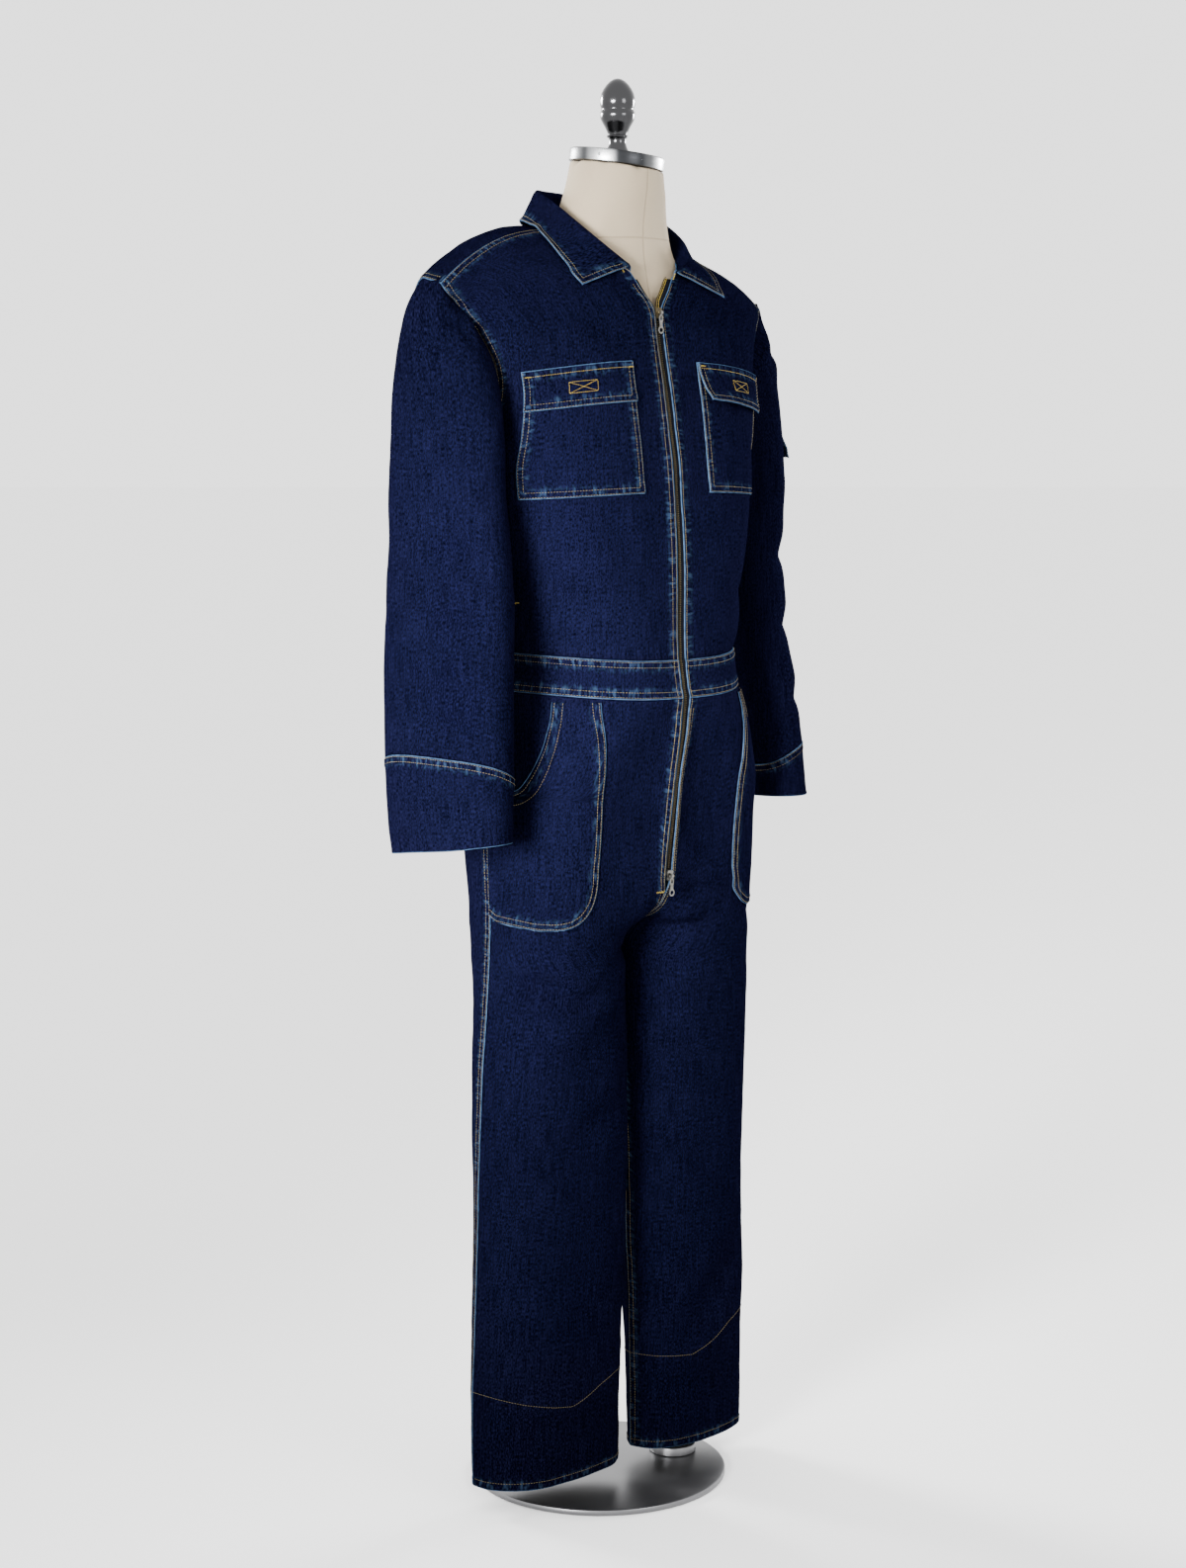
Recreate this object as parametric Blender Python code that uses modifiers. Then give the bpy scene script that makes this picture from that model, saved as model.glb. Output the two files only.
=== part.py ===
"""Denim boiler-suit style jumpsuit, full length with long sleeves, worn by a limbless dress form
on a pole and a round base plate.  Metres, +Z up, the garment faces -Y, its right side is -X."""
import math

import bmesh
import bpy
import numpy as np
from mathutils import Matrix
from mathutils.bvhtree import BVHTree

# ---- driving dimensions (metres) ------------------------------------------------------------
CLOTH = 0.0015          # wall of the denim
SEAM_PULL = 0.00016     # each cut piece stops this short of its seam
LAYER = 0.0019          # step out from one layer of cloth to the next
POCKET_WALL = 0.0014    # wall of a patch pocket or flap
ZIP_LOW = 0.775         # foot of the zip
ZIP_TOP = 1.458         # head of the closed zip
SHOULDER_LEAN = 0.060   # drop of the shoulders toward the wearer's left, per metre
SHOULDER_SAG = 0.008    # extra hollow of the left shoulder line
FORM_CLEAR = 0.0006     # cloth over the form where it rests
BASE_R = 0.160          # base plate radius
BASE_H = 0.008          # base plate thickness
POLE_R = 0.0125         # pole radius
POLE_X = 0.105          # pole stands inside the left leg
POLE_Y = -0.022
FORM_FOOT = 0.800       # underside of the form

IN_CUTS = (0.0, 0.35, 0.70)                                  # columns, centre to crest
OUT_CUTS = (0.0, 0.21, 0.42, 0.62, 0.775, 0.900, 0.965, 1.0)  # columns, crest to side

# Cross-sections of the trouser part and waistband, one row per height.
# z, side rise, centre x, centre y, crest x, crest y, side x, side y, back crest x, y, back centre y
BODY_ROWS = (
    (1.046, .010, .0035, -.1520, .030, -.1515, .170, .006, .050, .128, .130),
    (1.023, .010, .0035, -.1570, .030, -.1555, .171, .006, .055, .125, .127),
    (1.000, .010, .0035, -.1610, .030, -.1600, .173, .006, .060, .121, .124),
    (0.958, .006, .0035, -.1570, .060, -.1525, .177, -.001, .075, .113, .113),
    (0.925, .003, .0035, -.1515, .085, -.1430, .180, -.005, .088, .107, .106),
    (0.895, .000, .0035, -.1465, .108, -.1340, .182, -.008, .097, .102, .100),
    (0.850, .000, .0035, -.1390, .108, -.1285, .185, -.011, .098, .097, .090),
    (0.805, .000, .0035, -.1315, .108, -.1245, .187, -.013, .098, .092, .080),
    (0.775, .000, .0035, -.1270, .108, -.1225, .187, -.014, .098, .088, .071),
    (0.760, .000, .0000, -.1220, .107, -.1215, .187, -.015, .099, .085, .064),
    (0.745, .000, .0000, -.1110, .106, -.1200, .187, -.016, .100, .083, .052),
    (0.733, .000, .0000, -.0910, .105, -.1190, .187, -.016, .101, .081, .036),
    (0.724, .000, .0000, -.0640, .104, -.1180, .187, -.016, .102, .079, .016),
    (0.717, .000, .0000, -.0340, .104, -.1170, .187, -.016, .102, .078, -.004),
)
# Closed leg sections below the crotch, one row per height, right leg then left leg.
LEG_ROWS = {
    -1: (
        (0.713, .000, .0004, -.0180, .104, -.1165, .187, -.016, .102, .077, -.018),
        (0.660, .000, .0020, -.0260, .104, -.1110, .188, -.016, .103, .068, -.026),
        (0.580, .000, .0020, -.0340, .105, -.1050, .192, -.015, .105, .056, -.034),
        (0.450, .000, .0020, -.0410, .106, -.0970, .199, -.012, .108, .042, -.041),
        (0.300, .000, .0020, -.0430, .106, -.0860, .203, -.008, .110, .028, -.043),
        (0.135, .000, .0030, -.0430, .105, -.0760, .206, -.005, .110, .017, -.043),
        (0.030, .000, .0040, -.0420, .103, -.0700, .206, -.004, .110, .012, -.042),
    ),
    1: (
        (0.713, .000, .0004, -.0180, .104, -.1165, .188, -.018, .102, .077, -.018),
        (0.660, .000, .0030, -.0240, .104, -.1090, .194, -.020, .104, .069, -.024),
        (0.580, .000, .0060, -.0300, .106, -.1010, .199, -.022, .107, .058, -.030),
        (0.450, .000, .0110, -.0330, .107, -.0900, .202, -.025, .110, .045, -.033),
        (0.300, .000, .0180, -.0300, .107, -.0800, .205, -.028, .113, .032, -.030),
        (0.135, .000, .0270, -.0250, .105, -.0720, .206, -.032, .115, .020, -.025),
        (0.030, .000, .0330, -.0210, .103, -.0680, .205, -.036, .117, .012, -.021),
    ),
}
# Front of the bodice, one row from centre front or neckline out to side seam or armhole.
# centre x, y, z, crest x, crest y, outer x, y, z, fullness, drop
FRONT_ROWS = (
    (.0035, -.1520, 1.046, .030, -.1515, .170, .006, 1.056, 1.9, 2.0),
    (.0035, -.1505, 1.085, .034, -.1500, .175, .006, 1.095, 2.0, 2.0),
    (.0035, -.1490, 1.140, .042, -.1480, .182, .006, 1.148, 2.1, 2.0),
    (.0035, -.1465, 1.195, .052, -.1445, .190, .006, 1.194, 2.25, 2.0),
    (.0035, -.1430, 1.243, .052, -.1405, .196, .005, 1.235, 2.3, 2.0),
    (.0035, -.1390, 1.282, .052, -.1365, .198, .003, 1.272, 2.3, 2.0),
    (.0035, -.1330, 1.318, .052, -.1310, .196, -.018, 1.300, 2.2, 2.0),
    (.0035, -.1265, 1.350, .052, -.1250, .195, -.036, 1.335, 2.1, 2.0),
    (.0035, -.1205, 1.375, .052, -.1200, .195, -.045, 1.357, 2.0, 2.0),
    (.0035, -.1155, 1.398, .052, -.1160, .198, -.048, 1.381, 1.9, 2.0),
    (.0035, -.1085, 1.435, .054, -.1090, .207, -.042, 1.412, 1.8, 2.0),
    (.0035, -.1050, 1.458, .058, -.1035, .217, -.034, 1.431, 1.7, 2.0),
    (.0190, -.1010, 1.480, .068, -.0980, .228, -.027, 1.446, 1.6, 2.0),
    (.0340, -.0965, 1.500, .078, -.0900, .238, -.021, 1.458, 1.5, 2.0),
    (.0550, -.0800, 1.516, .090, -.0720, .245, -.017, 1.466, 1.4, 2.0),
    (.0710, -.0530, 1.532, .100, -.0460, .250, -.015, 1.472, 1.3, 2.0),
    (.0820, -.0150, 1.547, .112, -.0140, .253, -.014, 1.476, 1.2, 2.0),
)
# Back of the bodice, one row from centre back or back neckline out to side seam or armhole.
BACK_ROWS = (
    (.0000, .1300, 1.046, .050, .1280, .170, .006, 1.056, 1.9, 2.0),
    (.0000, .1330, 1.085, .052, .1310, .175, .006, 1.095, 2.0, 2.0),
    (.0000, .1370, 1.140, .056, .1350, .182, .006, 1.148, 2.1, 2.0),
    (.0000, .1410, 1.195, .060, .1390, .190, .006, 1.194, 2.25, 2.0),
    (.0000, .1440, 1.243, .060, .1420, .196, .005, 1.235, 2.3, 2.0),
    (.0000, .1460, 1.290, .060, .1440, .198, .003, 1.272, 2.3, 2.0),
    (.0000, .1460, 1.345, .060, .1440, .199, .030, 1.312, 2.2, 2.0),
    (.0000, .1430, 1.400, .060, .1410, .204, .050, 1.352, 2.1, 2.0),
    (.0000, .1340, 1.450, .060, .1320, .213, .060, 1.390, 2.0, 2.0),
    (.0000, .1180, 1.495, .062, .1150, .226, .060, 1.425, 1.9, 2.0),
    (.0000, .0920, 1.533, .066, .0900, .240, .050, 1.456, 1.8, 2.0),
    (.0000, .0620, 1.556, .078, .0600, .250, .034, 1.474, 1.6, 2.0),
    (.0340, .0550, 1.557, .088, .0500, .254, .018, 1.482, 1.5, 2.0),
    (.0620, .0300, 1.554, .100, .0260, .255, .004, 1.480, 1.3, 2.0),
    (.0820, -.0150, 1.547, .112, -.0140, .253, -.014, 1.476, 1.2, 2.0),
)
# Sleeve sections, one row per height: z, centre x, centre y, half width, half depth, turn, tip down
SLEEVE_ROWS = {
    -1: (
        (1.245, .2460, -.019, .0385, .0790, 14, .000),
        (1.183, .2480, -.024, .0395, .0830, 14, .000),
        (1.120, .2510, -.027, .0405, .0860, 14, .001),
        (1.050, .2550, -.028, .0410, .0890, 13, .003),
        (0.980, .2570, -.030, .0415, .0900, 12, .006),
        (0.913, .2570, -.031, .0415, .0890, 12, .009),
        (0.870, .2560, -.031, .0410, .0870, 12, .011),
        (0.829, .2540, -.031, .0405, .0840, 12, .012),
    ),
    1: (
        (1.245, .2475, .020, .0395, .0820, 8, .000),
        (1.183, .2470, .024, .0390, .0830, 8, .000),
        (1.120, .2465, .020, .0390, .0840, 8, .000),
        (1.050, .2470, .010, .0390, .0840, 9, .000),
        (0.980, .2500, -.004, .0390, .0830, 10, .001),
        (0.919, .2540, -.013, .0390, .0810, 11, .002),
        (0.885, .2560, -.017, .0390, .0800, 12, .002),
        (0.854, .2580, -.020, .0395, .0790, 12, .002),
    ),
}
CUFF_ROW = 5            # first of the cuff's rows
# Collar, one row at each neckline point from the front end to the centre back: roll, then edge.
COLLAR_ROWS = (
    (.0360, -.0965, 1.5085, .1120, -.1010, 1.4800),
    (.0580, -.0925, 1.5215, .1190, -.0780, 1.5010),
    (.0810, -.0660, 1.5480, .1180, -.0380, 1.5260),
    (.0870, -.0190, 1.5780, .1110, .0000, 1.5460),
    (.0720, .0320, 1.5970, .0890, .0450, 1.5570),
    (.0390, .0580, 1.6010, .0500, .0750, 1.5580),
    (.0000, .0660, 1.6020, .0000, .0870, 1.5590),
)
COLLAR_WALL = 0.0016
# Outline of a hip pocket seen from the front: x outward, z, from the waist seam round by the
# centre edge and the bottom to the side seam, then up the curved opening.
HIP_POCKET = (
    (.1080, 1.0100), (.1080, .8000), (.1090, .7780), (.1140, .7580), (.1240, .7420), (.1370, .7330),
    (.1520, .7290), (.1700, .7290), (.1850, .7320), (.2100, .7380), (.2100, .8760), (.1860, .8800),
    (.1790, .8900), (.1720, .9080), (.1640, .9320), (.1560, .9600), (.1490, .9850), (.1470, 1.0100),
)
# The form's sections from the neck down: z front, z side, z back, centre y, half width, front, back
FORM_ROWS = (
    (1.6292, 1.6292, 1.6292, -.031, .0550, .0550, .0550),
    (1.613, 1.613, 1.613, -.030, .0570, .0560, .0560),
    (1.594, 1.595, 1.597, -.027, .0630, .0570, .0570),
    (1.568, 1.572, 1.578, -.022, .0680, .0570, .0580),
    (1.536, 1.552, 1.562, -.018, .0710, .0580, .0610),
    (1.503, 1.537, 1.546, -.015, .0830, .0680, .0730),
    (1.470, 1.530, 1.525, -.010, .1080, .0800, .0880),
    (1.430, 1.518, 1.490, -.006, .1400, .0950, .1060),
    (1.390, 1.500, 1.450, -.004, .1680, .1050, .1220),
    (1.350, 1.465, 1.405, -.002, .1800, .1130, .1300),
    (1.300, 1.400, 1.350, .000, .1780, .1210, .1300),
    (1.240, 1.300, 1.270, .000, .1690, .1250, .1240),
    (1.150, 1.180, 1.160, -.002, .1540, .1230, .1120),
    (1.040, 1.040, 1.040, -.004, .1440, .1200, .1000),
    (0.940, 0.940, 0.940, -.006, .1520, .1160, .0920),
    (0.860, 0.860, 0.860, -.008, .1580, .1060, .0840),
    (0.800, 0.800, 0.800, -.010, .1560, .0960, .0760),
)
# Lathe profile of the finial over the cap: radius, height
FINIAL_ROWS = (
    (.0145, .0000), (.0139, .0030), (.0112, .0080), (.0103, .0115), (.0104, .0175), (.0132, .0190),
    (.0132, .0205), (.0118, .0225), (.0150, .0300), (.0200, .0390), (.0212, .0440), (.0205, .0480),
    (.0194, .0510), (.0207, .0550), (.0212, .0600), (.0206, .0660), (.0175, .0745), (.0120, .0820),
    (.0055, .0865), (.0000, .0878),
)
# Outline of a pull tab below its pivot: forked neck, bar and round end.
TAB_HALF = (
    (.0017, -.0018), (.0022, -.0036), (.0030, -.0046), (.0030, -.0084), (.0023, -.0108), (.0021, -.0160),
    (.0034, -.0178), (.0043, -.0205), (.0034, -.0232), (.0014, -.0247),
)
TAB = TAB_HALF + tuple((-u, v) for u, v in TAB_HALF[::-1])
CAP_CENTRE = (0.0, -.0310, 1.6375)
CAP_R = .0572
CAP_H = .0150
CAP_TILT = (.094, -.078)     # sideways parts of the cap's upward axis

MATERIALS = {
    "denim": ((.016, .028, .085), 0.0, .85),
    "denim_edge": ((.030, .055, .140), 0.0, .85),
    "zip_tape": ((.012, .014, .030), 0.0, .80),
    "nickel": ((.62, .61, .58), 1.0, .28),
    "linen": ((.70, .64, .52), 0.0, .90),
    "aluminium": ((.66, .67, .68), 1.0, .35),
    "grey_chrome": ((.42, .42, .43), 1.0, .30),
    "satin_steel": ((.50, .50, .51), 1.0, .38),
}


def reset():
    """Empty the scene and make the part's collection."""
    for old in list(bpy.data.objects):
        bpy.data.objects.remove(old, do_unlink=True)
    group = bpy.data.collections.new("jumpsuit")
    bpy.context.scene.collection.children.link(group)
    return group


def material(name):
    """One plain Principled material."""
    found = bpy.data.materials.get(name)
    if found:
        return found
    made = bpy.data.materials.new(name)
    made.use_nodes = True
    colour, metal, rough = MATERIALS[name]
    shader = made.node_tree.nodes["Principled BSDF"]
    shader.inputs["Base Color"].default_value = (*colour, 1.0)
    shader.inputs["Metallic"].default_value = metal
    shader.inputs["Roughness"].default_value = rough
    made.diffuse_color = (*colour, 1.0)
    return made


def node(name, verts, faces, mat, pivot=(0.0, 0.0, 0.0)):
    """A named mesh object with its own material, facing out."""
    mesh = bpy.data.meshes.new(name)
    shift = np.asarray(pivot, float)
    mesh.from_pydata([tuple(np.asarray(v, float) - shift) for v in verts], [], faces)
    work = bmesh.new()
    work.from_mesh(mesh)
    bmesh.ops.recalc_face_normals(work, faces=work.faces)
    if work.calc_volume(signed=True) < 0:
        bmesh.ops.reverse_faces(work, faces=work.faces)
    work.to_mesh(mesh)
    work.free()
    made = bpy.data.objects.new(name, mesh)
    made.location = tuple(shift)
    colour = material(mat).copy()
    colour.name = name + "_" + mat
    mesh.materials.append(colour)
    GROUP.objects.link(made)
    return made


def lean(points):
    """Lower the shoulders toward the wearer's left, fading out under the chest."""
    pts = np.array(points, float)
    weight = np.clip((pts[..., 2] - 1.40) / 0.13, 0.0, 1.0)
    pts[..., 2] -= SHOULDER_LEAN * pts[..., 0] * weight
    sag = np.clip((pts[..., 2] - 1.49) / 0.05, 0.0, 1.0) * np.sin(np.pi * np.clip(pts[..., 0] / .26, 0.0, 1.0))
    pts[..., 2] -= SHOULDER_SAG * sag
    return pts


def section(side, start, crest, end, power, drop):
    """One row of points from the centre over the crest to the outer edge."""
    sx, sy, sz = start
    cx, cy = crest
    ex, ey, ez = end
    flat = []
    for cut in IN_CUTS:
        turn = (1.0 - cut) * math.pi / 2
        flat.append((cx - (cx - sx) * math.sin(turn), cy + (sy - cy) * (1 - math.cos(turn))))
    for cut in OUT_CUTS:
        rest = max(0.0, 1.0 - cut ** power) ** (1.0 / power)
        flat.append((cx + (ex - cx) * cut, ey + (cy - ey) * rest))
    row = []
    for x, y in flat:
        share = min(1.0, max(0.0, (x - sx) / (ex - sx)))
        row.append((side * x, y, sz + (ez - sz) * share ** drop))
    return row


def body_row(side, row):
    """Front and back halves of one trouser or waistband section."""
    z, rise, x0, y0, cx, cy, sx, sy, bx, by, yb = row
    full = 2.3 - 0.4 * min(1.0, max(0.0, (z - .89) / .11))
    front = section(side, (x0, y0, z), (cx, cy), (sx, sy, z + rise), full, 2.0)
    inner = 0.0 if z > 0.716 else x0
    back = section(side, (inner, yb, z), (bx, by), (sx, sy, z + rise), full, 2.0)
    return front, back


def grids(side):
    """The outer surface of every main panel on one side, as rows of points."""
    rows = BODY_ROWS + LEG_ROWS[side]
    pairs = [body_row(side, row) for row in rows]
    front = [p[0] for p in pairs]
    back = [p[1] for p in pairs]
    out = {
        "waist_front": np.array(front[:3]), "waist_back": np.array(back[:3]),
        "leg_front": np.array(front[2:]), "leg_back": np.array(back[2:]),
    }
    for name, table in (("front", FRONT_ROWS), ("back", BACK_ROWS)):
        made = [section(side, r[0:3], r[3:5], r[5:8], r[8], r[9]) for r in table]
        out[name] = lean(made)
    loop = [out["front"][-1 - k][-1] for k in range(len(FRONT_ROWS) - 5)]
    loop += [out["back"][k][-1] for k in range(6, len(BACK_ROWS) - 1)]
    rings = [sleeve_ring(side, row, len(loop)) for row in SLEEVE_ROWS[side]]
    cap = [cap_row(np.array(loop), rings[0], t) for t in (0, .14, .28, .44, .62, .80, .90)]
    out["sleeve"] = np.array(cap + rings[:CUFF_ROW + 1])
    out["cuff"] = np.array(rings[CUFF_ROW:])
    return out


def sleeve_ring(side, row, count):
    """One flattened ring of the sleeve, starting at its outer side and going by the front."""
    z, cx, cy, a, b, turn, tip = row
    front = len(FRONT_ROWS) - 6
    ring = []
    for k in range(count):
        angle = math.pi * k / front if k <= front else math.pi * (1 + (k - front) / (count - front))
        u, v = math.cos(angle), -math.sin(angle)
        x, y = a * math.copysign(abs(u) ** .85, u), b * math.copysign(abs(v) ** .85, v)
        spin = math.radians(turn)
        px = cx + x * math.cos(spin) + y * math.sin(spin)
        py = cy - x * math.sin(spin) + y * math.cos(spin)
        ring.append((side * px, py, z - tip * v))
    return np.array(ring)


def cap_row(loop, ring, t):
    """A row of the sleeve head between the armhole and the first full ring."""
    ctrl = loop + (ring - loop) * .86
    ctrl[:, 2] = loop[:, 2] - (loop[:, 2] - ring[:, 2]) * .12
    return loop * (1 - t) ** 2 + ctrl * 2 * t * (1 - t) + ring * t * t


def sheet(grid, wrap=False, middle=None):
    """A grid's points and faces, wound to face away from the middle of each row."""
    rows, cols = grid.shape[:2]
    last = cols if wrap else cols - 1
    faces = [(r * cols + c, r * cols + (c + 1) % cols, (r + 1) * cols + (c + 1) % cols, (r + 1) * cols + c)
             for r in range(rows - 1) for c in range(last)]
    flat = grid.reshape(-1, 3)
    vote = 0.0
    for face in faces:
        pts = flat[list(face)]
        row = face[0] // cols
        inside = grid[row].mean(0) if middle is None else np.array(middle)
        if middle is not None:
            inside = np.array([middle[0], middle[1], pts[:, 2].mean() - .05])
        vote += np.cross(pts[2] - pts[0], pts[3] - pts[1]) @ (pts.mean(0) - inside)
    halves = [half for a, b, c, d in faces for half in ((a, b, c), (a, c, d))]
    return flat, [half if vote > 0 else half[::-1] for half in halves]


def weld(parts):
    """Join sheets at their shared points."""
    keys, verts, faces = {}, [], []
    for points, sheet_faces in parts:
        index = []
        for p in points:
            key = tuple(float(c) + 0.0 for c in np.round(p, 6))
            if key not in keys:
                keys[key] = len(verts)
                verts.append(key)
            index.append(keys[key])
        for face in sheet_faces:
            ids = []
            for i in face:
                if index[i] not in ids:
                    ids.append(index[i])
            if len(ids) > 2:
                faces.append(tuple(ids))
    return np.array(verts), faces


def vertex_normals(verts, faces):
    """Area weighted normals of a sheet."""
    total = np.zeros_like(verts)
    for face in faces:
        pts = verts[list(face)]
        normal = sum(np.cross(pts[i], pts[(i + 1) % len(pts)]) for i in range(len(pts)))
        for i in face:
            total[i] += normal
    return total / np.maximum(np.linalg.norm(total, axis=1), 1e-12)[:, None]


def shell(verts, faces, normals, wall, lift=0.0, pull=SEAM_PULL):
    """Close a sheet into a solid: its edges pulled back, its wall laid inward."""
    count = {}
    for face in faces:
        for i, a in enumerate(face):
            key = tuple(sorted((a, face[(i + 1) % len(face)])))
            count[key] = count.get(key, 0) + 1
    rim, pushes = [], {}
    for face in faces:
        centre = verts[list(face)].mean(0)
        for i, a in enumerate(face):
            b = face[(i + 1) % len(face)]
            if count[tuple(sorted((a, b)))] > 1:
                continue
            rim.append((a, b))
            along = (verts[b] - verts[a]) / max(np.linalg.norm(verts[b] - verts[a]), 1e-9)
            inward = centre - (verts[a] + verts[b]) / 2
            inward = inward - along * (inward @ along)
            inward = inward / max(np.linalg.norm(inward), 1e-9)
            pushes.setdefault(a, []).append(inward)
            pushes.setdefault(b, []).append(inward)
    pts = verts.copy()
    for i, ways in pushes.items():
        mean = sum(ways) / len(ways)
        pts[i] += pull * mean / max(mean @ mean, .3)
    outer = pts + normals * lift if np.ndim(lift) == 0 else pts + normals * lift[:, None]
    inner = outer - normals * wall
    n = len(verts)
    solid = list(faces) + [tuple(i + n for i in reversed(face)) for face in faces]
    solid += [(b, a, a + n, b + n) for a, b in rim]
    return np.vstack((outer, inner)), solid


class Garment:
    """All the main panels together, so that neighbours share their normals."""

    def __init__(self):
        self.sheets = {}
        for side in (-1, 1):
            for name, grid in grids(side).items():
                tube = name in ("sleeve", "cuff")
                middle = None if tube else (0.0, -.01)
                if name.startswith("leg"):
                    middle = (side * .104, -.02)
                self.sheets[name, side] = (grid, *sheet(grid, tube, middle))
        self.verts, self.faces = weld([s[1:] for s in self.sheets.values()])
        self.out = vertex_normals(self.verts, self.faces)
        self.table = {tuple(v): n for v, n in zip(self.verts, self.out)}
        wall = self.verts - self.out * CLOTH
        self.inside = BVHTree.FromPolygons([tuple(v) for v in wall], self.faces)
        self.outside = BVHTree.FromPolygons([tuple(v) for v in self.verts], self.faces)

    def normals(self, verts, own=None):
        """Normals shared with the neighbours; own ones where two pieces fold back to back."""
        shared = np.array([self.table[tuple(v)] for v in verts])
        if own is not None:
            apart = (shared * own).sum(1) < .6
            shared[apart] = own[apart]
        return shared

    def panel(self, name, keys):
        """One cut piece made of whole sheets; a sleeve stands off the bodice where they fold."""
        verts, faces = weld([self.sheets[key][1:] for key in keys])
        own = vertex_normals(verts, faces)
        points, solid = shell(verts, faces, self.normals(verts, own), CLOTH)
        if keys[0][0] == "sleeve":
            side = keys[0][1]
            near, flat = weld([self.sheets["front", side][1:], self.sheets["back", side][1:]])
            body = {tuple(v): n for v, n in zip(near, vertex_normals(near, flat))}
            for i, v in enumerate(verts):
                way = body.get(tuple(v))
                if way is not None:
                    step = way * .0006 * (1.0 - way @ own[i]) / 2
                    points[i] += step
                    points[i + len(verts)] += step
        return node(name, points, solid, "denim")

    def patch(self, key, rows, cols, layers, wall=POCKET_WALL, lift=None):
        """Part of a sheet, stepped out from it by a number of layers."""
        grid = self.sheets[key][0]
        small = grid[rows[0]:rows[1] + 1][:, cols]
        tube = key[0] in ("sleeve", "cuff")
        middle = (0.0, -.01)
        if key[0].startswith("leg"):
            middle = (key[1] * .104, -.02)
        if tube:
            middle = (key[1] * .22, 0.0)
        verts, faces = weld([sheet(small, False, middle)])
        step = np.full(len(verts), layers * LAYER)
        if lift is not None:
            step += np.array([lift(v) for v in verts])
        return shell(verts, faces, self.normals(verts), wall, step, pull=0.0)


def prism(outline, place, low, high, name="cutter"):
    """A solid standing on a flat outline; place(u, v, w) gives the point in space."""
    n = len(outline)
    verts = [place(u, v, low) for u, v in outline] + [place(u, v, high) for u, v in outline]
    faces = [tuple(range(n)), tuple(range(2 * n - 1, n - 1, -1))]
    faces += [(i, (i + 1) % n, (i + 1) % n + n, i + n) for i in range(n)]
    return node(name, verts, faces, "nickel")


def combine(base, tool, operation):
    """Apply one exact Boolean and drop the tool."""
    change = base.modifiers.new("cut", "BOOLEAN")
    change.operation = operation
    change.solver = "EXACT"
    change.object = tool
    settle(base)
    bpy.data.objects.remove(tool, do_unlink=True)
    return base


def settle(made):
    """Bake an object's modifiers into its mesh."""
    graph = bpy.context.evaluated_depsgraph_get()
    mesh = bpy.data.meshes.new_from_object(made.evaluated_get(graph))
    made.modifiers.clear()
    made.data = mesh


def circle(radius, count, centre=(0.0, 0.0), stretch=1.0):
    return [(centre[0] + radius * math.cos(2 * math.pi * k / count),
             centre[1] + stretch * radius * math.sin(2 * math.pi * k / count)) for k in range(count)]


def build_panels(cloth):
    """Bodice, waistband, legs, sleeves and cuffs, each cut piece by itself."""
    for side, word in ((-1, "right"), (1, "left")):
        cloth.panel("front_" + word, [("front", side)])
        cloth.panel("waistband_front_" + word, [("waist_front", side)])
        cloth.panel("leg_front_" + word, [("leg_front", side)])
        cloth.panel("leg_back_" + word, [("leg_back", side)])
        cloth.panel("sleeve_" + word, [("sleeve", side)])
        cloth.panel("cuff_" + word, [("cuff", side)])
    cloth.panel("back", [("back", -1), ("back", 1)])
    cloth.panel("waistband_back", [("waist_back", -1), ("waist_back", 1)])


def build_chest_pockets(cloth):
    """Patch pockets and their flaps on the bodice fronts."""
    cols = list(range(3, 9))
    for side, word in ((-1, "right"), (1, "left")):
        pocket = cloth.patch(("front", side), (4, 9), cols, 1)
        node("chest_pocket_" + word, *pocket, "denim")

        sewn = min(cloth.sheets["front", side][0][9][cols][:, 2])

        def curl(p, side=side, sewn=sewn):
            """The left flap stands away at its lower inner corner."""
            low = min(1.0, max(0.0, (sewn - .0005 - p[2]) / .048))
            inner = min(1.0, max(0.0, (.150 - p[0]) / .098))
            return .0200 * low * inner + .0050 * low if side > 0 else .0006 * low
        flap = cloth.patch(("front", side), (7, 9), cols, 2, lift=curl)
        node("chest_flap_" + word, *flap, "denim")


def build_hip_pockets(cloth):
    """Large patch pockets with a curved opening, cut to outline."""
    for side, word in ((-1, "right"), (1, "left")):
        verts, faces = cloth.patch(("leg_front", side), (0, 10), list(range(2, 11)), 1)
        pocket = node("hip_pocket_" + word, verts, faces, "denim")
        outline = [(side * x, min(z, 1.000 - SEAM_PULL)) for x, z in HIP_POCKET]
        tool = prism(outline, lambda u, v, w: (u, w, v), -.30, .05)
        combine(pocket, tool, "INTERSECT")


def build_arm_pocket(cloth):
    """Flapped patch pocket on the outside of the left sleeve."""
    cols = [17, 18, 19, 0, 1, 2]
    pocket = cloth.patch(("sleeve", 1), (5, 8), cols, 1)
    node("arm_pocket", *pocket, "denim")
    high = max(cloth.sheets["sleeve", 1][0][5][cols][:, 2])
    flap = cloth.patch(("sleeve", 1), (5, 6), cols, 2, lift=lambda p: .20 * max(0.0, high - p[2]))
    node("arm_flap", *flap, "denim")


def zip_line(cloth, side):
    """Points, outward normals and sideways directions down one edge of the zip."""
    front = cloth.sheets["front", side][0]
    waist = cloth.sheets["waist_front", side][0]
    leg = cloth.sheets["leg_front", side][0]
    rows = [front[k] for k in range(13, 0, -1)] + [waist[0], waist[1]] + [leg[k] for k in range(7)]
    edge = np.array([row[0] for row in rows])
    away = np.array([(row[1] - row[0]) / np.linalg.norm(row[1] - row[0]) for row in rows])
    return edge, cloth.normals(np.round(edge, 6) + 0.0), away


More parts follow.
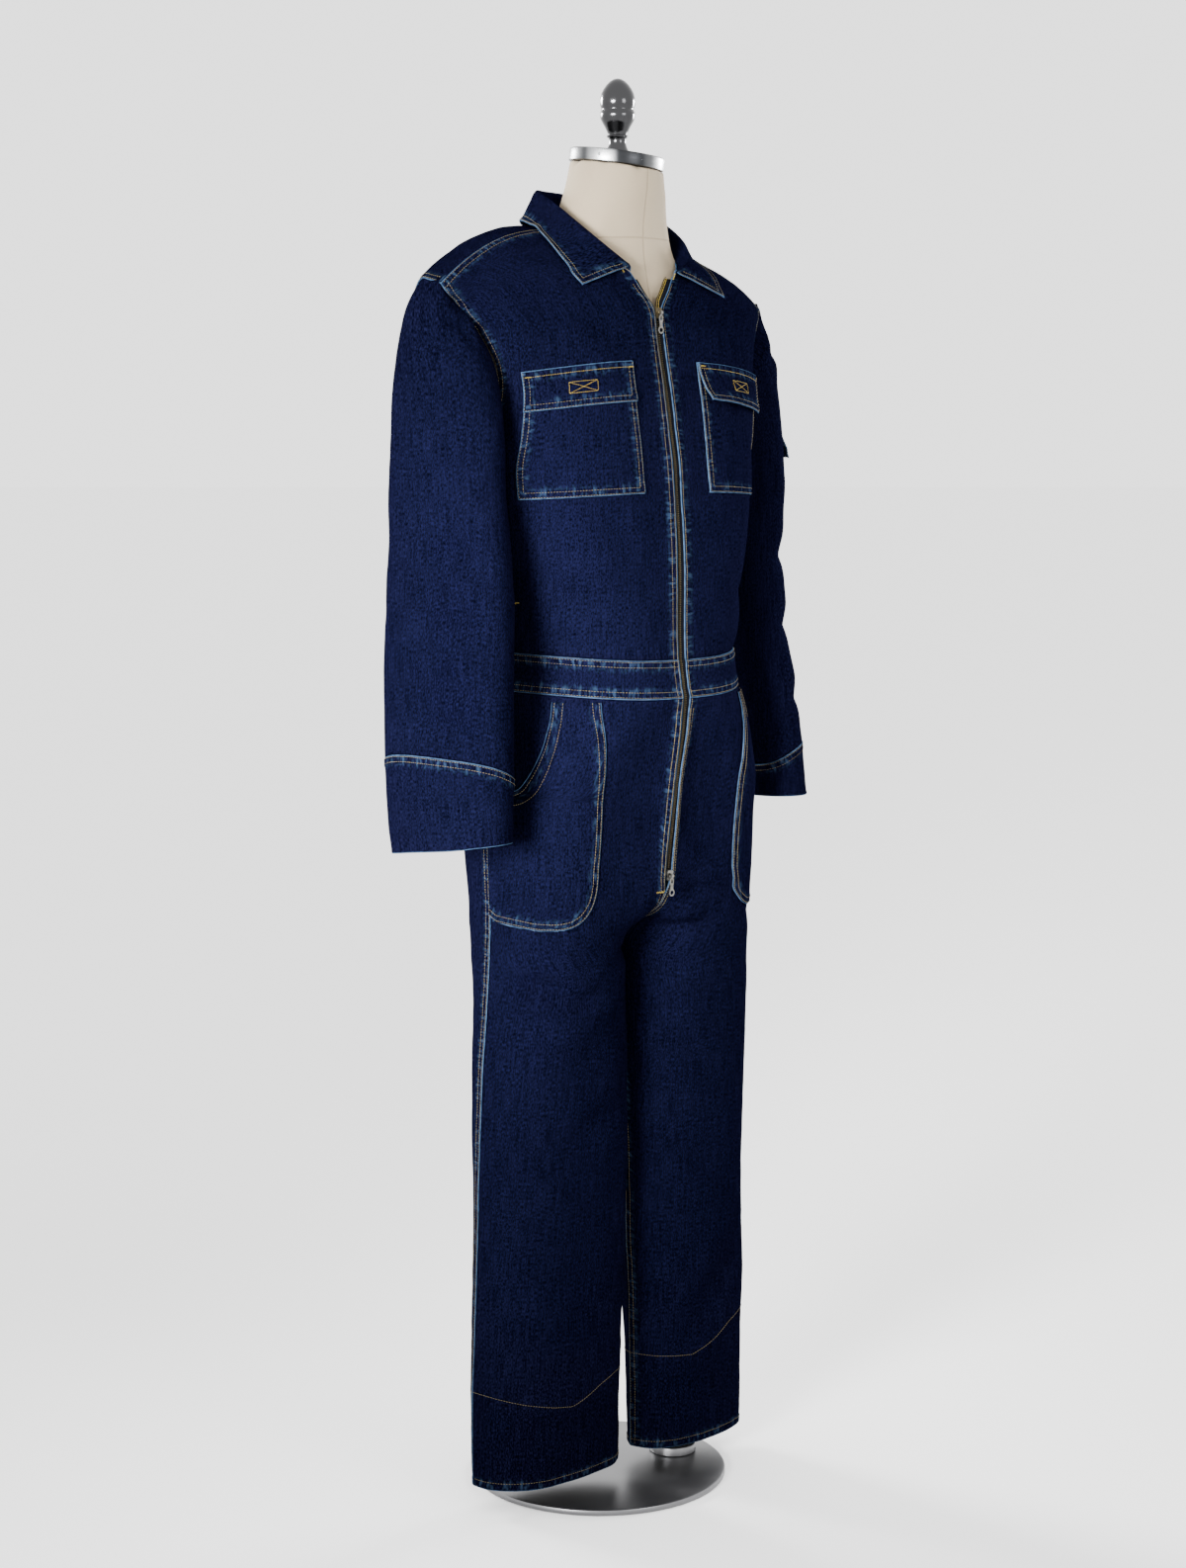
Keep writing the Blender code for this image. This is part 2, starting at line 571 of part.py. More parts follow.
def build_zip(cloth):
    """Two tapes behind the front edges, two sliders and their pull tabs."""
    for side, word in ((-1, "right"), (1, "left")):
        edge, out, away = zip_line(cloth, side)
        grid = np.stack((edge - away * .0028, edge + away * .0045), axis=1)
        points, faces = sheet(grid, False, (0.0, .05))
        out = out * np.where(edge[:, 2:3] < 1.465, (0.0, 1.0, 1.0), (1.0, 1.0, 1.0))
        normals = np.repeat(out / np.linalg.norm(out, axis=1)[:, None], 2, axis=0)
        lift = -(CLOTH + .0010)
        node("zip_tape_" + word, *shell(points, faces, normals, .0009, lift), "zip_tape")
    for word, height in (("top", ZIP_TOP - .004), ("bottom", ZIP_LOW + .009)):
        build_slider(cloth, word, height)


def build_slider(cloth, word, height):
    """A zip slider with a bridge over it, and the pull tab turning on the bridge."""
    edge, out, _ = zip_line(cloth, -1)
    k = max(i for i in range(len(edge)) if edge[i][2] > height)
    share = (edge[k][2] - height) / (edge[k][2] - edge[k + 1][2])
    foot = edge[k] + (edge[k + 1] - edge[k]) * share
    up = edge[k] - edge[k + 1]
    up = np.array([0.0, up[1], up[2]]) / math.hypot(up[1], up[2])
    face = np.array([0.0, -up[2], up[1]])
    foot[0] = 0.0

    def flat(u, v, w):
        return tuple(foot + np.array([u, 0, 0]) + up * v + face * w)

    def arch(u, v, w):
        return tuple(foot + np.array([u, 0, 0]) + face * v + up * w)

    def eye(u, v, w):
        return tuple(foot + face * (.0064 + u) + up * v + np.array([w, 0, 0]))
    body = ((-.0040, .0062), (.0040, .0062), (.0047, .0040), (.0046, .0010), (.0031, -.0060), (-.0031, -.0060),
            (-.0046, .0010), (-.0047, .0040))
    slider = prism(body, flat, .0004, .0036, "zip_slider_" + word)
    bridge = ((-.0036, .0032), (-.0036, .0062), (-.0028, .0070), (.0028, .0070), (.0036, .0062), (.0036, .0032),
              (.0026, .0032), (.0026, .0058), (-.0026, .0058), (-.0026, .0032))
    combine(slider, prism(bridge, arch, -.0008, .0008), "UNION")
    pivot = np.array(eye(0, 0, 0))

    def hang(u, v, w):
        """The tab hangs straight down from its pivot."""
        return tuple(pivot + np.array([u, -w, v]))
    pull = prism(circle(.0023, 16), lambda u, v, w: hang(w, v, u), -.0018, .0018, "zip_pull_" + word)
    combine(pull, prism(TAB, hang, -.0005, .0005), "UNION")
    combine(pull, prism(circle(.0014, 16), lambda u, v, w: hang(w, v, u), -.0040, .0040), "DIFFERENCE")
    combine(pull, prism(circle(.0013, 16, (0.0, -.0066), 2.1), hang, -.0020, .0020), "DIFFERENCE")
    combine(pull, prism(circle(.0026, 20, (0.0, -.0205)), hang, -.0020, .0020), "DIFFERENCE")
    pull.data.transform(Matrix.Translation(tuple(-pivot)))
    pull.location = tuple(pivot)


def build_collar(cloth):
    """Turned-down collar: stand up from the neckline, roll, and fall over the shoulders."""
    halves = []
    for side in (-1, 1):
        front = cloth.sheets["front", side][0]
        back = cloth.sheets["back", side][0]
        base = [front[k][0] for k in (13, 14, 15, 16)] + [back[k][0] for k in (13, 12, 11)]
        rolls = lean([(side * r[0], r[1], r[2]) for r in COLLAR_ROWS])
        edges = lean([(side * r[3], r[4], r[5]) for r in COLLAR_ROWS])
        halves.append([np.array(base), rolls, edges])
    full = [np.vstack((halves[0][i], halves[1][i][-2::-1])) for i in range(3)]
    base, rolls, edges = (smooth(line, straight=(i == 0)) for i, line in enumerate(full))
    rows = []
    for b, r, e in zip(base, rolls, edges):
        rows.append(collar_section(cloth, b, r, e))
    grid = np.array(rows)
    points, faces = sheet(grid, False, (0.0, 0.0))
    n = vertex_normals(points, faces)
    centre = len(rows) // 2 * grid.shape[1]
    if n[centre][1] > 0:
        faces = [face[::-1] for face in faces]
        n = -n
    node("collar", *shell(points, faces, n, COLLAR_WALL, pull=0.0), "denim_edge")


def smooth(line, straight):
    """Put a point between each two, on the chord or on the curve through them."""
    out = []
    for i in range(len(line) - 1):
        out.append(line[i])
        mid = (line[i] + line[i + 1]) / 2
        if not straight and 0 < i < len(line) - 2:
            mid = (9 * (line[i] + line[i + 1]) - line[i - 1] - line[i + 2]) / 16
        out.append(mid)
    return out + [line[-1]]


def collar_section(cloth, base, roll, edge):
    """Points from the neckline up the stand, over the roll and down the fall."""
    start = base + np.array([0.0, 0.0, .0009])
    out = edge - start
    out[2] = 0.0
    out = out / np.linalg.norm(out)
    height = roll[2] - start[2]
    fold = min(.0030, height * .35)
    near = roll - out * fold * .9 - np.array([0, 0, fold])
    far = roll + out * fold * .9 - np.array([0, 0, fold * .8])
    points = [start, (start + near) / 2, near, roll, far]
    for share in (.25, .5, .75, 1.0):
        points.append(far + (edge - far) * share)
    for i in range(4, len(points)):
        hit = cloth.outside.ray_cast((points[i][0], points[i][1], 1.70), (0, 0, -1))[0]
        if hit is not None:
            points[i][2] = max(points[i][2], hit[2] + COLLAR_WALL + .0040)
    return np.array(points)


def ring_point(row, angle):
    """Point of one section of the form; angle 0 is the front, 90 degrees the left side."""
    zf, zs, zb, cy, a, f, b = row
    c, s = math.cos(angle), math.sin(angle)
    depth = f if c > 0 else b
    power = .92
    x = a * math.copysign(abs(s) ** power, s)
    y = cy - depth * math.copysign(abs(c) ** power, c)
    end = zf if c > 0 else zb
    return np.array([x, y, end * c * c + zs * s * s])


def build_form(cloth):
    """Limbless linen form with a metal cap and finial, the cloth resting on its shoulders."""
    count = 32
    rows = []
    for i, row in enumerate(FORM_ROWS):
        ring = [ring_point(row, 2 * math.pi * k / count) for k in range(count)]
        if i < 2:
            ring = [tilted(p, CAP_CENTRE) - np.array([0, 0, CAP_CENTRE[2] - row[0]]) for p in ring]
        rows.append(np.array(ring))
    for ring in rows[4:11]:
        for p in ring:
            p[2] -= SHOULDER_LEAN * p[0] * min(1.0, max(0.0, (p[2] - 1.40) / .13))
            hit = cloth.inside.ray_cast((p[0], p[1], p[2] - .06), (0, 0, 1))[0]
            rest = hit is not None and hit[2] > 1.46 and abs(p[0]) > .095 and abs(p[1]) < .045
            if rest and abs(hit[2] - p[2]) < .05:
                p[2] = hit[2]
            for _ in range(4):
                near, way, _, _ = cloth.inside.find_nearest(tuple(p))
                depth = FORM_CLEAR if rest else FORM_CLEAR * 3
                if (p - np.array(near)) @ np.array(way) > -depth * .9:
                    p[:] = np.array(near) - np.array(way) * depth
    grid = np.array(rows)
    points, faces = sheet(grid, True, (0.0, 0.0))
    n = len(points)
    faces += [tuple(range(count)), tuple(range(n - 1, n - 1 - count, -1))]
    node("form_torso", points, faces, "linen")
    outline = circle(CAP_R, 48)
    axis = cap_axis()
    east = np.array([axis[2], 0.0, -axis[0]]) / math.hypot(axis[0], axis[2])
    north = np.cross(axis, east)

    def place(u, v, w):
        return tuple(np.array(CAP_CENTRE) + east * u + north * v + axis * w)
    cap = prism(outline, place, -CAP_H / 2, CAP_H / 2, "form_cap")
    bevel(cap, .0008, 2)
    build_finial(axis)


def cap_axis():
    """The way up through the tilted cap."""
    side = np.array([CAP_TILT[0], CAP_TILT[1]])
    return np.array([*side, math.sqrt(1 - side @ side)])


def tilted(p, centre):
    """Lower a level point onto the cap's tilted plane through the centre."""
    axis = cap_axis()
    x, y = p[0] - centre[0], p[1] - centre[1]
    return np.array([p[0], p[1], centre[2] - (axis[0] * x + axis[1] * y) / axis[2]])


def bevel(made, width, segments):
    change = made.modifiers.new("bevel", "BEVEL")
    change.width = width
    change.segments = segments
    change.limit_method = "ANGLE"
    settle(made)


def build_finial(axis):
    """Turned finial, its foot following the cap."""
    foot = np.array(CAP_CENTRE) + axis * (CAP_H / 2 + .0003)
    mesh = bpy.data.meshes.new("finial")
    profile = [(r, 0.0, z) for r, z in FINIAL_ROWS]
    mesh.from_pydata([(0.0, 0.0, 0.0)] + profile, [(i, i + 1) for i in range(len(profile))], [])
    made = bpy.data.objects.new("form_finial", mesh)
    GROUP.objects.link(made)
    turn = made.modifiers.new("turn", "SCREW")
    turn.steps = 24
    turn.render_steps = 24
    turn.use_merge_vertices = True
    turn.merge_threshold = .00005
    settle(made)
    verts = []
    for v in made.data.vertices:
        fade = max(0.0, 1.0 - v.co.z / .0110)
        drop = (axis[0] * v.co.x + axis[1] * v.co.y) / axis[2] * fade
        verts.append((v.co.x + foot[0], v.co.y + foot[1], v.co.z - drop + foot[2]))
    faces = [tuple(p.vertices) for p in made.data.polygons]
    bpy.data.objects.remove(made, do_unlink=True)
    node("form_finial", verts, faces, "grey_chrome")


def rod(name, radius, low, high, x, y, mat, count=32, edge=0.0):
    """A straight round piece standing on its end."""
    made = prism(circle(radius, count), lambda u, v, w: (x + u, y + v, w), low, high, name)
    colour = material(mat).copy()
    colour.name = name + "_" + mat
    made.data.materials.clear()
    made.data.materials.append(colour)
    if edge:
        bevel(made, edge, 2)
    return made


def build_stand():
    """Round base plate and an offset pole up the left leg to the form."""
    rod("stand_base", BASE_R, 0.0, BASE_H, 0.0, 0.0, "satin_steel", 64, .0015)
    rod("stand_foot", .030, BASE_H + .0003, .020, POLE_X, POLE_Y, "satin_steel", 32, .0015)
    rod("stand_pole", POLE_R, .0203, .7750, POLE_X, POLE_Y, "satin_steel", 24)
    rod("stand_socket", .021, .7753, FORM_FOOT - .0003, POLE_X, POLE_Y, "satin_steel", 32, .001)


GROUP = reset()
CLOTHES = Garment()
build_panels(CLOTHES)
build_chest_pockets(CLOTHES)
build_hip_pockets(CLOTHES)
build_arm_pocket(CLOTHES)
build_zip(CLOTHES)
build_collar(CLOTHES)
build_form(CLOTHES)
build_stand()
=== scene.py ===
import math

import bmesh
import bpy
import numpy as np
from mathutils import Matrix, Vector, noise
from mathutils.bvhtree import BVHTree


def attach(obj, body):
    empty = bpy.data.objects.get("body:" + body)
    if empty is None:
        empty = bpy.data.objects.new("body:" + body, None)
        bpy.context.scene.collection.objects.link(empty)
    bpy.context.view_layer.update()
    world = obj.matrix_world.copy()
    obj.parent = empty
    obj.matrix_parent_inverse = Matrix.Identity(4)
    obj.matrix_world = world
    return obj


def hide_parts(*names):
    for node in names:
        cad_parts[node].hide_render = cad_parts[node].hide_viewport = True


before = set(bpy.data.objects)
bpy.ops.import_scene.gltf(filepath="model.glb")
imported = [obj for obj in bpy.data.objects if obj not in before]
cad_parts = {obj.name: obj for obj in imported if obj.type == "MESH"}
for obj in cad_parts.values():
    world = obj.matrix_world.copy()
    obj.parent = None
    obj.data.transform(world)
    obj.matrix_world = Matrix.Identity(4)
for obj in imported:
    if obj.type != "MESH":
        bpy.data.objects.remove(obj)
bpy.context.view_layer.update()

bpy.ops.object.select_all(action="DESELECT")

# ---- The view ----------------------------------------------------------------------------------
# The figure is seen from its right front, from the height of its chest and looking slightly down,
# through a long lens.
VIEW_TURN = math.radians(-40)       # bearing of the view from straight in front
VIEW_PITCH = math.radians(7.2)      # how far it looks down
VIEW_AWAY, VIEW_ASIDE, VIEW_HIGH = 3.5, .0085, 1.324
PICTURE_TALL, LENS_PIXELS = 1586, 2882
SENSOR = 36

toward_view = Vector((math.sin(VIEW_TURN), -math.cos(VIEW_TURN), 0))
across_view = Vector((math.cos(VIEW_TURN), math.sin(VIEW_TURN), 0))


def stand_at(name, item, spot, toward):
    """Put a camera or lamp at a place, pointing a given way."""
    made = bpy.data.objects.new(name, item)
    bpy.context.scene.collection.objects.link(made)
    made.location = spot
    made.rotation_euler = toward.to_track_quat("-Z", "Y").to_euler()
    return made


view_lens = bpy.data.cameras.new("view")
view_lens.sensor_fit = "VERTICAL"
view_lens.sensor_height = SENSOR
view_lens.lens = SENSOR * LENS_PIXELS / PICTURE_TALL
view_lens.clip_end = 60
bpy.context.scene.camera = stand_at(
    "view", view_lens, toward_view * VIEW_AWAY - across_view * VIEW_ASIDE + Vector((0, 0, VIEW_HIGH)),
    -toward_view * math.cos(VIEW_PITCH) - Vector((0, 0, math.sin(VIEW_PITCH))))


# ---- Floor and light ---------------------------------------------------------------------------
# A plain pale floor under an even sky, with one large soft light at the left of the view, a
# weaker one at its right and two behind, out of the frame.
FLOOR_REACH, FLOOR_CORNERS = 60, 32
SKY = 2.30
LAMP_SIZE = 1.1
LAMPS = (
    # name, place (toward the view, across it, up), height aimed at, spread in degrees, watts
    ("soft_key", (2.3, -1.30, 1.35), 1.00, 34, 46),
    ("soft_fill", (2.3, 2.0, 1.7), 1.15, 56, 6),
    ("soft_back_near", (-2.0, -2.3, 1.9), 1.10, 40, 34),
    ("soft_back_far", (-2.1, 2.3, 1.6), 1.10, 40, 26),
)


class Wire:
    """One output of a shader node; sums on wires add their Math nodes."""

    def __init__(self, shade, socket):
        self.shade = shade
        self.socket = socket

    def math(self, operation, *others):
        return self.shade.node("Math", {"operation": operation}, dict(enumerate((self, *others))))

    def __add__(self, other):
        return self.math("ADD", other)

    __radd__ = __add__

    def __sub__(self, other):
        return self.math("SUBTRACT", other)

    def __rsub__(self, other):
        return self.shade.node("Math", {"operation": "SUBTRACT"}, {0: other, 1: self})

    def __mul__(self, other):
        return self.math("MULTIPLY", other)

    __rmul__ = __mul__

    def least(self, other):
        return self.math("MINIMUM", other)

    def most(self, other):
        return self.math("MAXIMUM", other)

    def __abs__(self):
        return self.math("ABSOLUTE")

    def step(self, low, high):
        """0 below low, 1 above high and smooth between; low may be the greater."""
        return self.shade.node("MapRange", {"interpolation_type": "SMOOTHSTEP"},
                               {"Value": self, "From Min": low, "From Max": high})

    def split(self, kind):
        """The three parts of a vector or a colour."""
        made = self.shade.node(kind, {}, {0: self}).socket.node
        return [Wire(self.shade, socket) for socket in made.outputs[:3]]


class Shade:
    """A material being put together on its Principled shader."""

    def __init__(self, name, **constants):
        self.material = bpy.data.materials.new(name)
        self.material.use_nodes = True
        self.nodes = self.material.node_tree.nodes
        self.links = self.material.node_tree.links
        self.skin = self.nodes["Principled BSDF"]
        for socket, value in constants.items():
            self.skin.inputs[socket.replace("_", " ")].default_value = value

    def node(self, kind, settings, values, output=0):
        made = self.nodes.new("ShaderNode" + kind)
        for key, value in settings.items():
            setattr(made, key, value)
        for key, value in values.items():
            if isinstance(value, Wire):
                self.links.new(value.socket, made.inputs[key])
            else:
                made.inputs[key].default_value = value
        return Wire(self, made.outputs[output])

    def feed(self, **wires):
        for socket, wire in wires.items():
            self.links.new(wire.socket, self.skin.inputs[socket.replace("_", " ")])

    def mix(self, share, low, high):
        """A colour between two, by share."""
        return self.node("Mix", {"data_type": "RGBA"}, {0: share, 6: low, 7: high}, 2)

    def place(self, scale=(1, 1, 1), turn=(0, 0, 0), surface=False):
        """Object coordinates, or the cloth's own flat ones, scaled and turned."""
        if surface:
            spot = self.node("UVMap", {"uv_map": "UVMap"}, {})
        else:
            spot = self.node("TexCoord", {}, {}, 3)
        return self.node("Mapping", {}, {"Vector": spot, "Scale": scale, "Rotation": turn})

    def cloud(self, where, scale, detail=2.0, rough=0.5):
        return self.node("TexNoise", {}, {
            "Vector": where, "Scale": scale, "Detail": detail, "Roughness": rough})

    def ribs(self, where, way, scale, waver, detail=2.0, detail_scale=1.0):
        """Even ribs across one way, a little wavering."""
        return self.node("TexWave", {"bands_direction": way}, {
            "Vector": where, "Scale": scale, "Distortion": waver, "Detail": detail,
            "Detail Scale": detail_scale})

    def bump(self, height, depth, strength):
        return self.node("Bump", {}, {"Height": height, "Distance": depth, "Strength": strength})


def new_piece(name, points, faces, *shades):
    """A mesh object of plain points and faces."""
    mesh = bpy.data.meshes.new(name)
    mesh.from_pydata([tuple(p) for p in points], [], [tuple(f) for f in faces])
    made = bpy.data.objects.new(name, mesh)
    bpy.context.scene.collection.objects.link(made)
    for shade in shades:
        mesh.materials.append(shade.material)
    return made


paper = Shade("pale_floor", Roughness=0.95, Specular_IOR_Level=0.0)
paper_tone = paper.cloud(paper.place(), 3.0, 3.0)
paper.feed(Base_Color=paper.mix(paper_tone, (.950, .950, .950, 1), (.965, .965, .965, 1)))
floor_turns = [2 * math.pi * k / FLOOR_CORNERS for k in range(FLOOR_CORNERS)]
floor_rim = [(FLOOR_REACH * math.cos(turn), FLOOR_REACH * math.sin(turn), 0) for turn in floor_turns]
new_piece("pale_floor", floor_rim, [range(FLOOR_CORNERS)], paper)

for name, place, aim, spread_angle, watts in LAMPS:
    lamp = bpy.data.lights.new(name, "AREA")
    lamp.size = LAMP_SIZE
    lamp.energy = watts
    lamp.spread = math.radians(spread_angle)
    spot = toward_view * place[0] + across_view * place[1] + Vector((0, 0, place[2]))
    stand_at(name, lamp, spot, Vector((0, 0, aim)) - spot)
sky = bpy.data.worlds.new("soft_sky")
sky.use_nodes = True
sky.node_tree.nodes["Background"].inputs[0].default_value = (1, 1, 1, 1)
sky.node_tree.nodes["Background"].inputs[1].default_value = SKY
bpy.context.scene.world = sky


# ---- Stand -------------------------------------------------------------------------------------
# A turned steel plate with an offset foot, pole and socket that carry the form from inside the
# left leg.  Satin steel, turned marks running round each piece.
POLE_AT = (.105, -.022, 0)
PLATE = ((0, .0003), (.157, .0003), (.1592, .0008), (.160, .0022), (.160, .0058), (.1592, .0072),
         (.157, .0079), (.06, .0080), (0, .0080))
FOOT = ((0, .0083), (.0290, .0083), (.0299, .0092), (.0299, .0182), (.0292, .0194), (.0280, .0199),
        (.0150, .0200), (0, .0200))
POLE = ((0, .0203), (.0123, .0203), (.0125, .0210), (.0125, .7743), (.0123, .7750), (0, .7750))
SOCKET = ((0, .7753), (.0203, .7753), (.0209, .7760), (.0209, .7990), (.0203, .7997), (0, .7997))
TURNED_EDGE = math.radians(38)      # sharper corners than this stay crisp


def turned(name, profile, centre, shade, steps=96):
    """A lathe-turned piece: a profile of (radius, height) spun round an upright axis."""
    mesh = bpy.data.meshes.new(name)
    mesh.from_pydata([(centre[0] + r, centre[1], centre[2] + z) for r, z in profile],
                     [(k, k + 1) for k in range(len(profile) - 1)], [])
    made = bpy.data.objects.new(name, mesh)
    bpy.context.scene.collection.objects.link(made)
    bpy.context.view_layer.objects.active = made
    made.select_set(True)
    bpy.ops.object.mode_set(mode="EDIT")
    bpy.ops.mesh.select_all(action="SELECT")
    bpy.ops.mesh.spin(steps=steps, angle=2 * math.pi, center=centre, axis=(0, 0, 1))
    bpy.ops.mesh.select_all(action="SELECT")
    bpy.ops.mesh.remove_doubles(threshold=1e-5)
    bpy.ops.mesh.normals_make_consistent(inside=False)
    bpy.ops.object.mode_set(mode="OBJECT")
    bpy.ops.object.shade_smooth_by_angle(angle=TURNED_EDGE)
    made.select_set(False)
    made.data.materials.append(shade.material)
    return made


def brushed(name, colour, rough, lines):
    """Metal with fine lines round an upright axis and a few dull patches."""
    metal = Shade(name, Metallic=1.0)
    hair = metal.cloud(metal.place((1, 1, 60)), lines, 3.0, 0.6)
    dull = metal.cloud(metal.place(), 14.0, 3.0)
    metal.feed(Base_Color=metal.mix(dull, tuple(c * .9 for c in colour) + (1,), tuple(colour) + (1,)),
               Roughness=rough + (dull - 0.5) * 0.14 + (hair - 0.5) * 0.10,
               Normal=metal.bump(hair, 0.00003, 0.5))
    return metal


def hand_over(made, finish, *nodes):
    """Hide the solids that a piece stands for; it moves with the suit. Its finish is not used."""
    if nodes:
        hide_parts(*nodes)
    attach(made, "suit_on_form")


satin_steel = brushed("satin_steel", (.16, .16, .165), .36, 20.0)
for name, node, profile, centre, steps in (("base_plate", "stand_base", PLATE, (0, 0, 0), 144),
                                           ("pole_foot", "stand_foot", FOOT, POLE_AT, 96),
                                           ("pole", "stand_pole", POLE, POLE_AT, 64),
                                           ("pole_socket", "stand_socket", SOCKET, POLE_AT, 96)):
    hand_over(turned(name, profile, centre, satin_steel, steps), "satin_steel", node)


# ---- Dress form --------------------------------------------------------------------------------
# A limbless papier-mache form under a tight cream linen cover, pieced down the centre front and
# round the base of the neck.
SOLID_MERGE = 2e-5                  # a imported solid's doubled corners lie closer than this
LINEN_THREADS = 620.0
FRONT_SEAM_X = .002
NECK_SEAM_Z, NECK_SEAM_LEAN = 1.5360, -0.10

linen = Shade("form_linen", Roughness=0.9, Sheen_Weight=0.03, Sheen_Roughness=0.5, Specular_IOR_Level=0.15)
linen_warp, linen_weft = (linen.ribs(linen.place(), way, LINEN_THREADS, 1.5, 2.0, 3.0) for way in "XZ")
linen_slub = linen.cloud(linen.place((1, 1, 9)), 160.0, 3.0)
linen_tone = linen.cloud(linen.place(), 7.0, 4.0)
linen_x, linen_y, linen_z = linen.place().split("SeparateXYZ")
front_seam = abs(linen_x - FRONT_SEAM_X).step(0.0016, 0.0003) * linen_y.step(-.02, -.03)
neck_seam = abs(linen_z - NECK_SEAM_Z - linen_y * NECK_SEAM_LEAN).step(0.0014, 0.0003)
linen_seams = front_seam.most(neck_seam)
linen.feed(
    Base_Color=linen.mix(linen_seams * 0.45 + linen_slub * 0.16 + linen_tone * 0.22, (.25, .202, .140, 1),
                         (.13, .102, .065, 1)),
    Normal=linen.bump(linen_warp * 0.5 + linen_weft * 0.5 + linen_slub * 0.8 - linen_seams * 2.4, 0.00022, 0.8))

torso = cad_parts["form_torso"].copy()
torso.data = torso.data.copy()
torso.name = "form_cover"
torso.parent = None
for key in list(torso.keys()):
    del torso[key]
bpy.context.scene.collection.objects.link(torso)
torso.data.materials.clear()
torso.data.materials.append(linen.material)
form_body = bmesh.new()
form_body.from_mesh(torso.data)
bmesh.ops.remove_doubles(form_body, verts=form_body.verts, dist=SOLID_MERGE)
bmesh.ops.join_triangles(form_body, faces=form_body.faces, angle_face_threshold=math.radians(50),
                         angle_shape_threshold=math.radians(60))
form_body.to_mesh(torso.data)
form_body.free()
bpy.context.view_layer.objects.active = torso
torso.select_set(True)
rounding = torso.modifiers.new("rounding", "SUBSURF")
rounding.levels = rounding.render_levels = 2
bpy.ops.object.modifier_apply(modifier="rounding")
torso.select_set(False)
torso.data.polygons.foreach_set("use_smooth", [True] * len(torso.data.polygons))
hand_over(torso, "linen", "form_torso")


# ---- Neck cap and finial -----------------------------------------------------------------------
# A brushed aluminium cap pinned over the neck and tilted with it.  On it stands a turned and
# chromed finial, upright but for its foot.
CAP_TILT_X, CAP_TILT_Y = .094, -.078
CAP_MIDDLE = Vector((0, -.0310, 1.6375))
CAP = ((0, -.0075), (.0560, -.0075), (.0570, -.0070), (.0572, -.0060), (.0572, .0055),
       (.0569, .0066), (.0560, .0073), (.0540, .0075), (.0380, .0075), (.0378, .0073),
       (.0374, .0075), (0, .0075))
RIVET = ((0, .0012), (.0007, .0011), (.0012, .0007), (.0014, .0001), (.0014, -.0004), (0, -.0004))
RIVET_BEARINGS = (-62, -8)          # degrees from straight in front, toward the wearer's left
RIVET_REACH = .0571
FINIAL = ((0, 0), (.0143, .0000), (.0145, .0010), (.0141, .0026), (.0128, .0048), (.0114, .0075),
          (.0105, .0100), (.0103, .0130), (.0104, .0165), (.0112, .0180), (.0130, .0187),
          (.0133, .0198), (.0128, .0208), (.0117, .0216), (.0119, .0232), (.0133, .0262),
          (.0152, .0303), (.0178, .0347), (.0199, .0387), (.0210, .0425), (.0212, .0450),
          (.0207, .0478), (.0199, .0492), (.0193, .0504), (.0193, .0516), (.0199, .0530),
          (.0208, .0556), (.0213, .0600), (.0208, .0648), (.0195, .0700), (.0172, .0748),
          (.0140, .0795), (.0098, .0838), (.0050, .0868), (0, .0878))
FINIAL_RISE = .0078                 # the finial's foot above the cap's middle
FINIAL_FOOT = .0110                 # height over which its upright axis meets the tilted cap

aluminium = Shade("brushed_aluminium", Metallic=1.0)
# Painted reflection: bright upright streaks in the cap's base colour stand in for the streaked reflections of
# brushed metal
painted_cap_glint = aluminium.cloud(aluminium.place((22, 22, .4)), 1.0).step(.40, .62)
cap_hair = aluminium.cloud(aluminium.place((1, 1, 90)), 6.0, 3.0, 0.6)
aluminium.feed(Base_Color=aluminium.mix(painted_cap_glint, (.025, .026, .028, 1), (.27, .275, .28, 1)),
               Roughness=0.24 + cap_hair * 0.2)
grey_chrome = brushed("grey_chrome", (.050, .050, .052), .15, 30.0)
cap_axis = Vector((CAP_TILT_X, CAP_TILT_Y, math.sqrt(1 - CAP_TILT_X ** 2 - CAP_TILT_Y ** 2)))
cap_turn = Vector((0, 0, 1)).rotation_difference(cap_axis).to_matrix().to_4x4()
cap_place = Matrix.Translation(CAP_MIDDLE) @ cap_turn
cap = turned("neck_cap", CAP, (0, 0, 0), aluminium, 128)
cap.data.transform(cap_place)
rivets = []
for bearing in RIVET_BEARINGS:
    angle = math.radians(bearing - 90)
    outward = Vector((math.cos(angle), math.sin(angle), 0))
    lay = Vector((0, 0, 1)).rotation_difference(outward).to_matrix().to_4x4()
    rivet = turned("cap_rivet", RIVET, (0, 0, 0), aluminium, 16)
    rivet.data.transform(cap_place @ Matrix.Translation(outward * RIVET_REACH) @ lay)
    rivets.append(rivet)
finial = turned("finial", FINIAL, (0, 0, 0), grey_chrome)
finial_foot = CAP_MIDDLE + cap_axis * FINIAL_RISE
for v in finial.data.vertices:
    drop = (cap_axis[0] * v.co.x + cap_axis[1] * v.co.y) / cap_axis[2] * max(0.0, 1 - v.co.z / FINIAL_FOOT)
    v.co = Vector((v.co.x, v.co.y, v.co.z - drop)) + finial_foot
hand_over(cap, "brushed_aluminium", "form_cap")
for rivet in rivets:
    hand_over(rivet, "brushed_aluminium")
hand_over(finial, "grey_chrome", "form_finial")


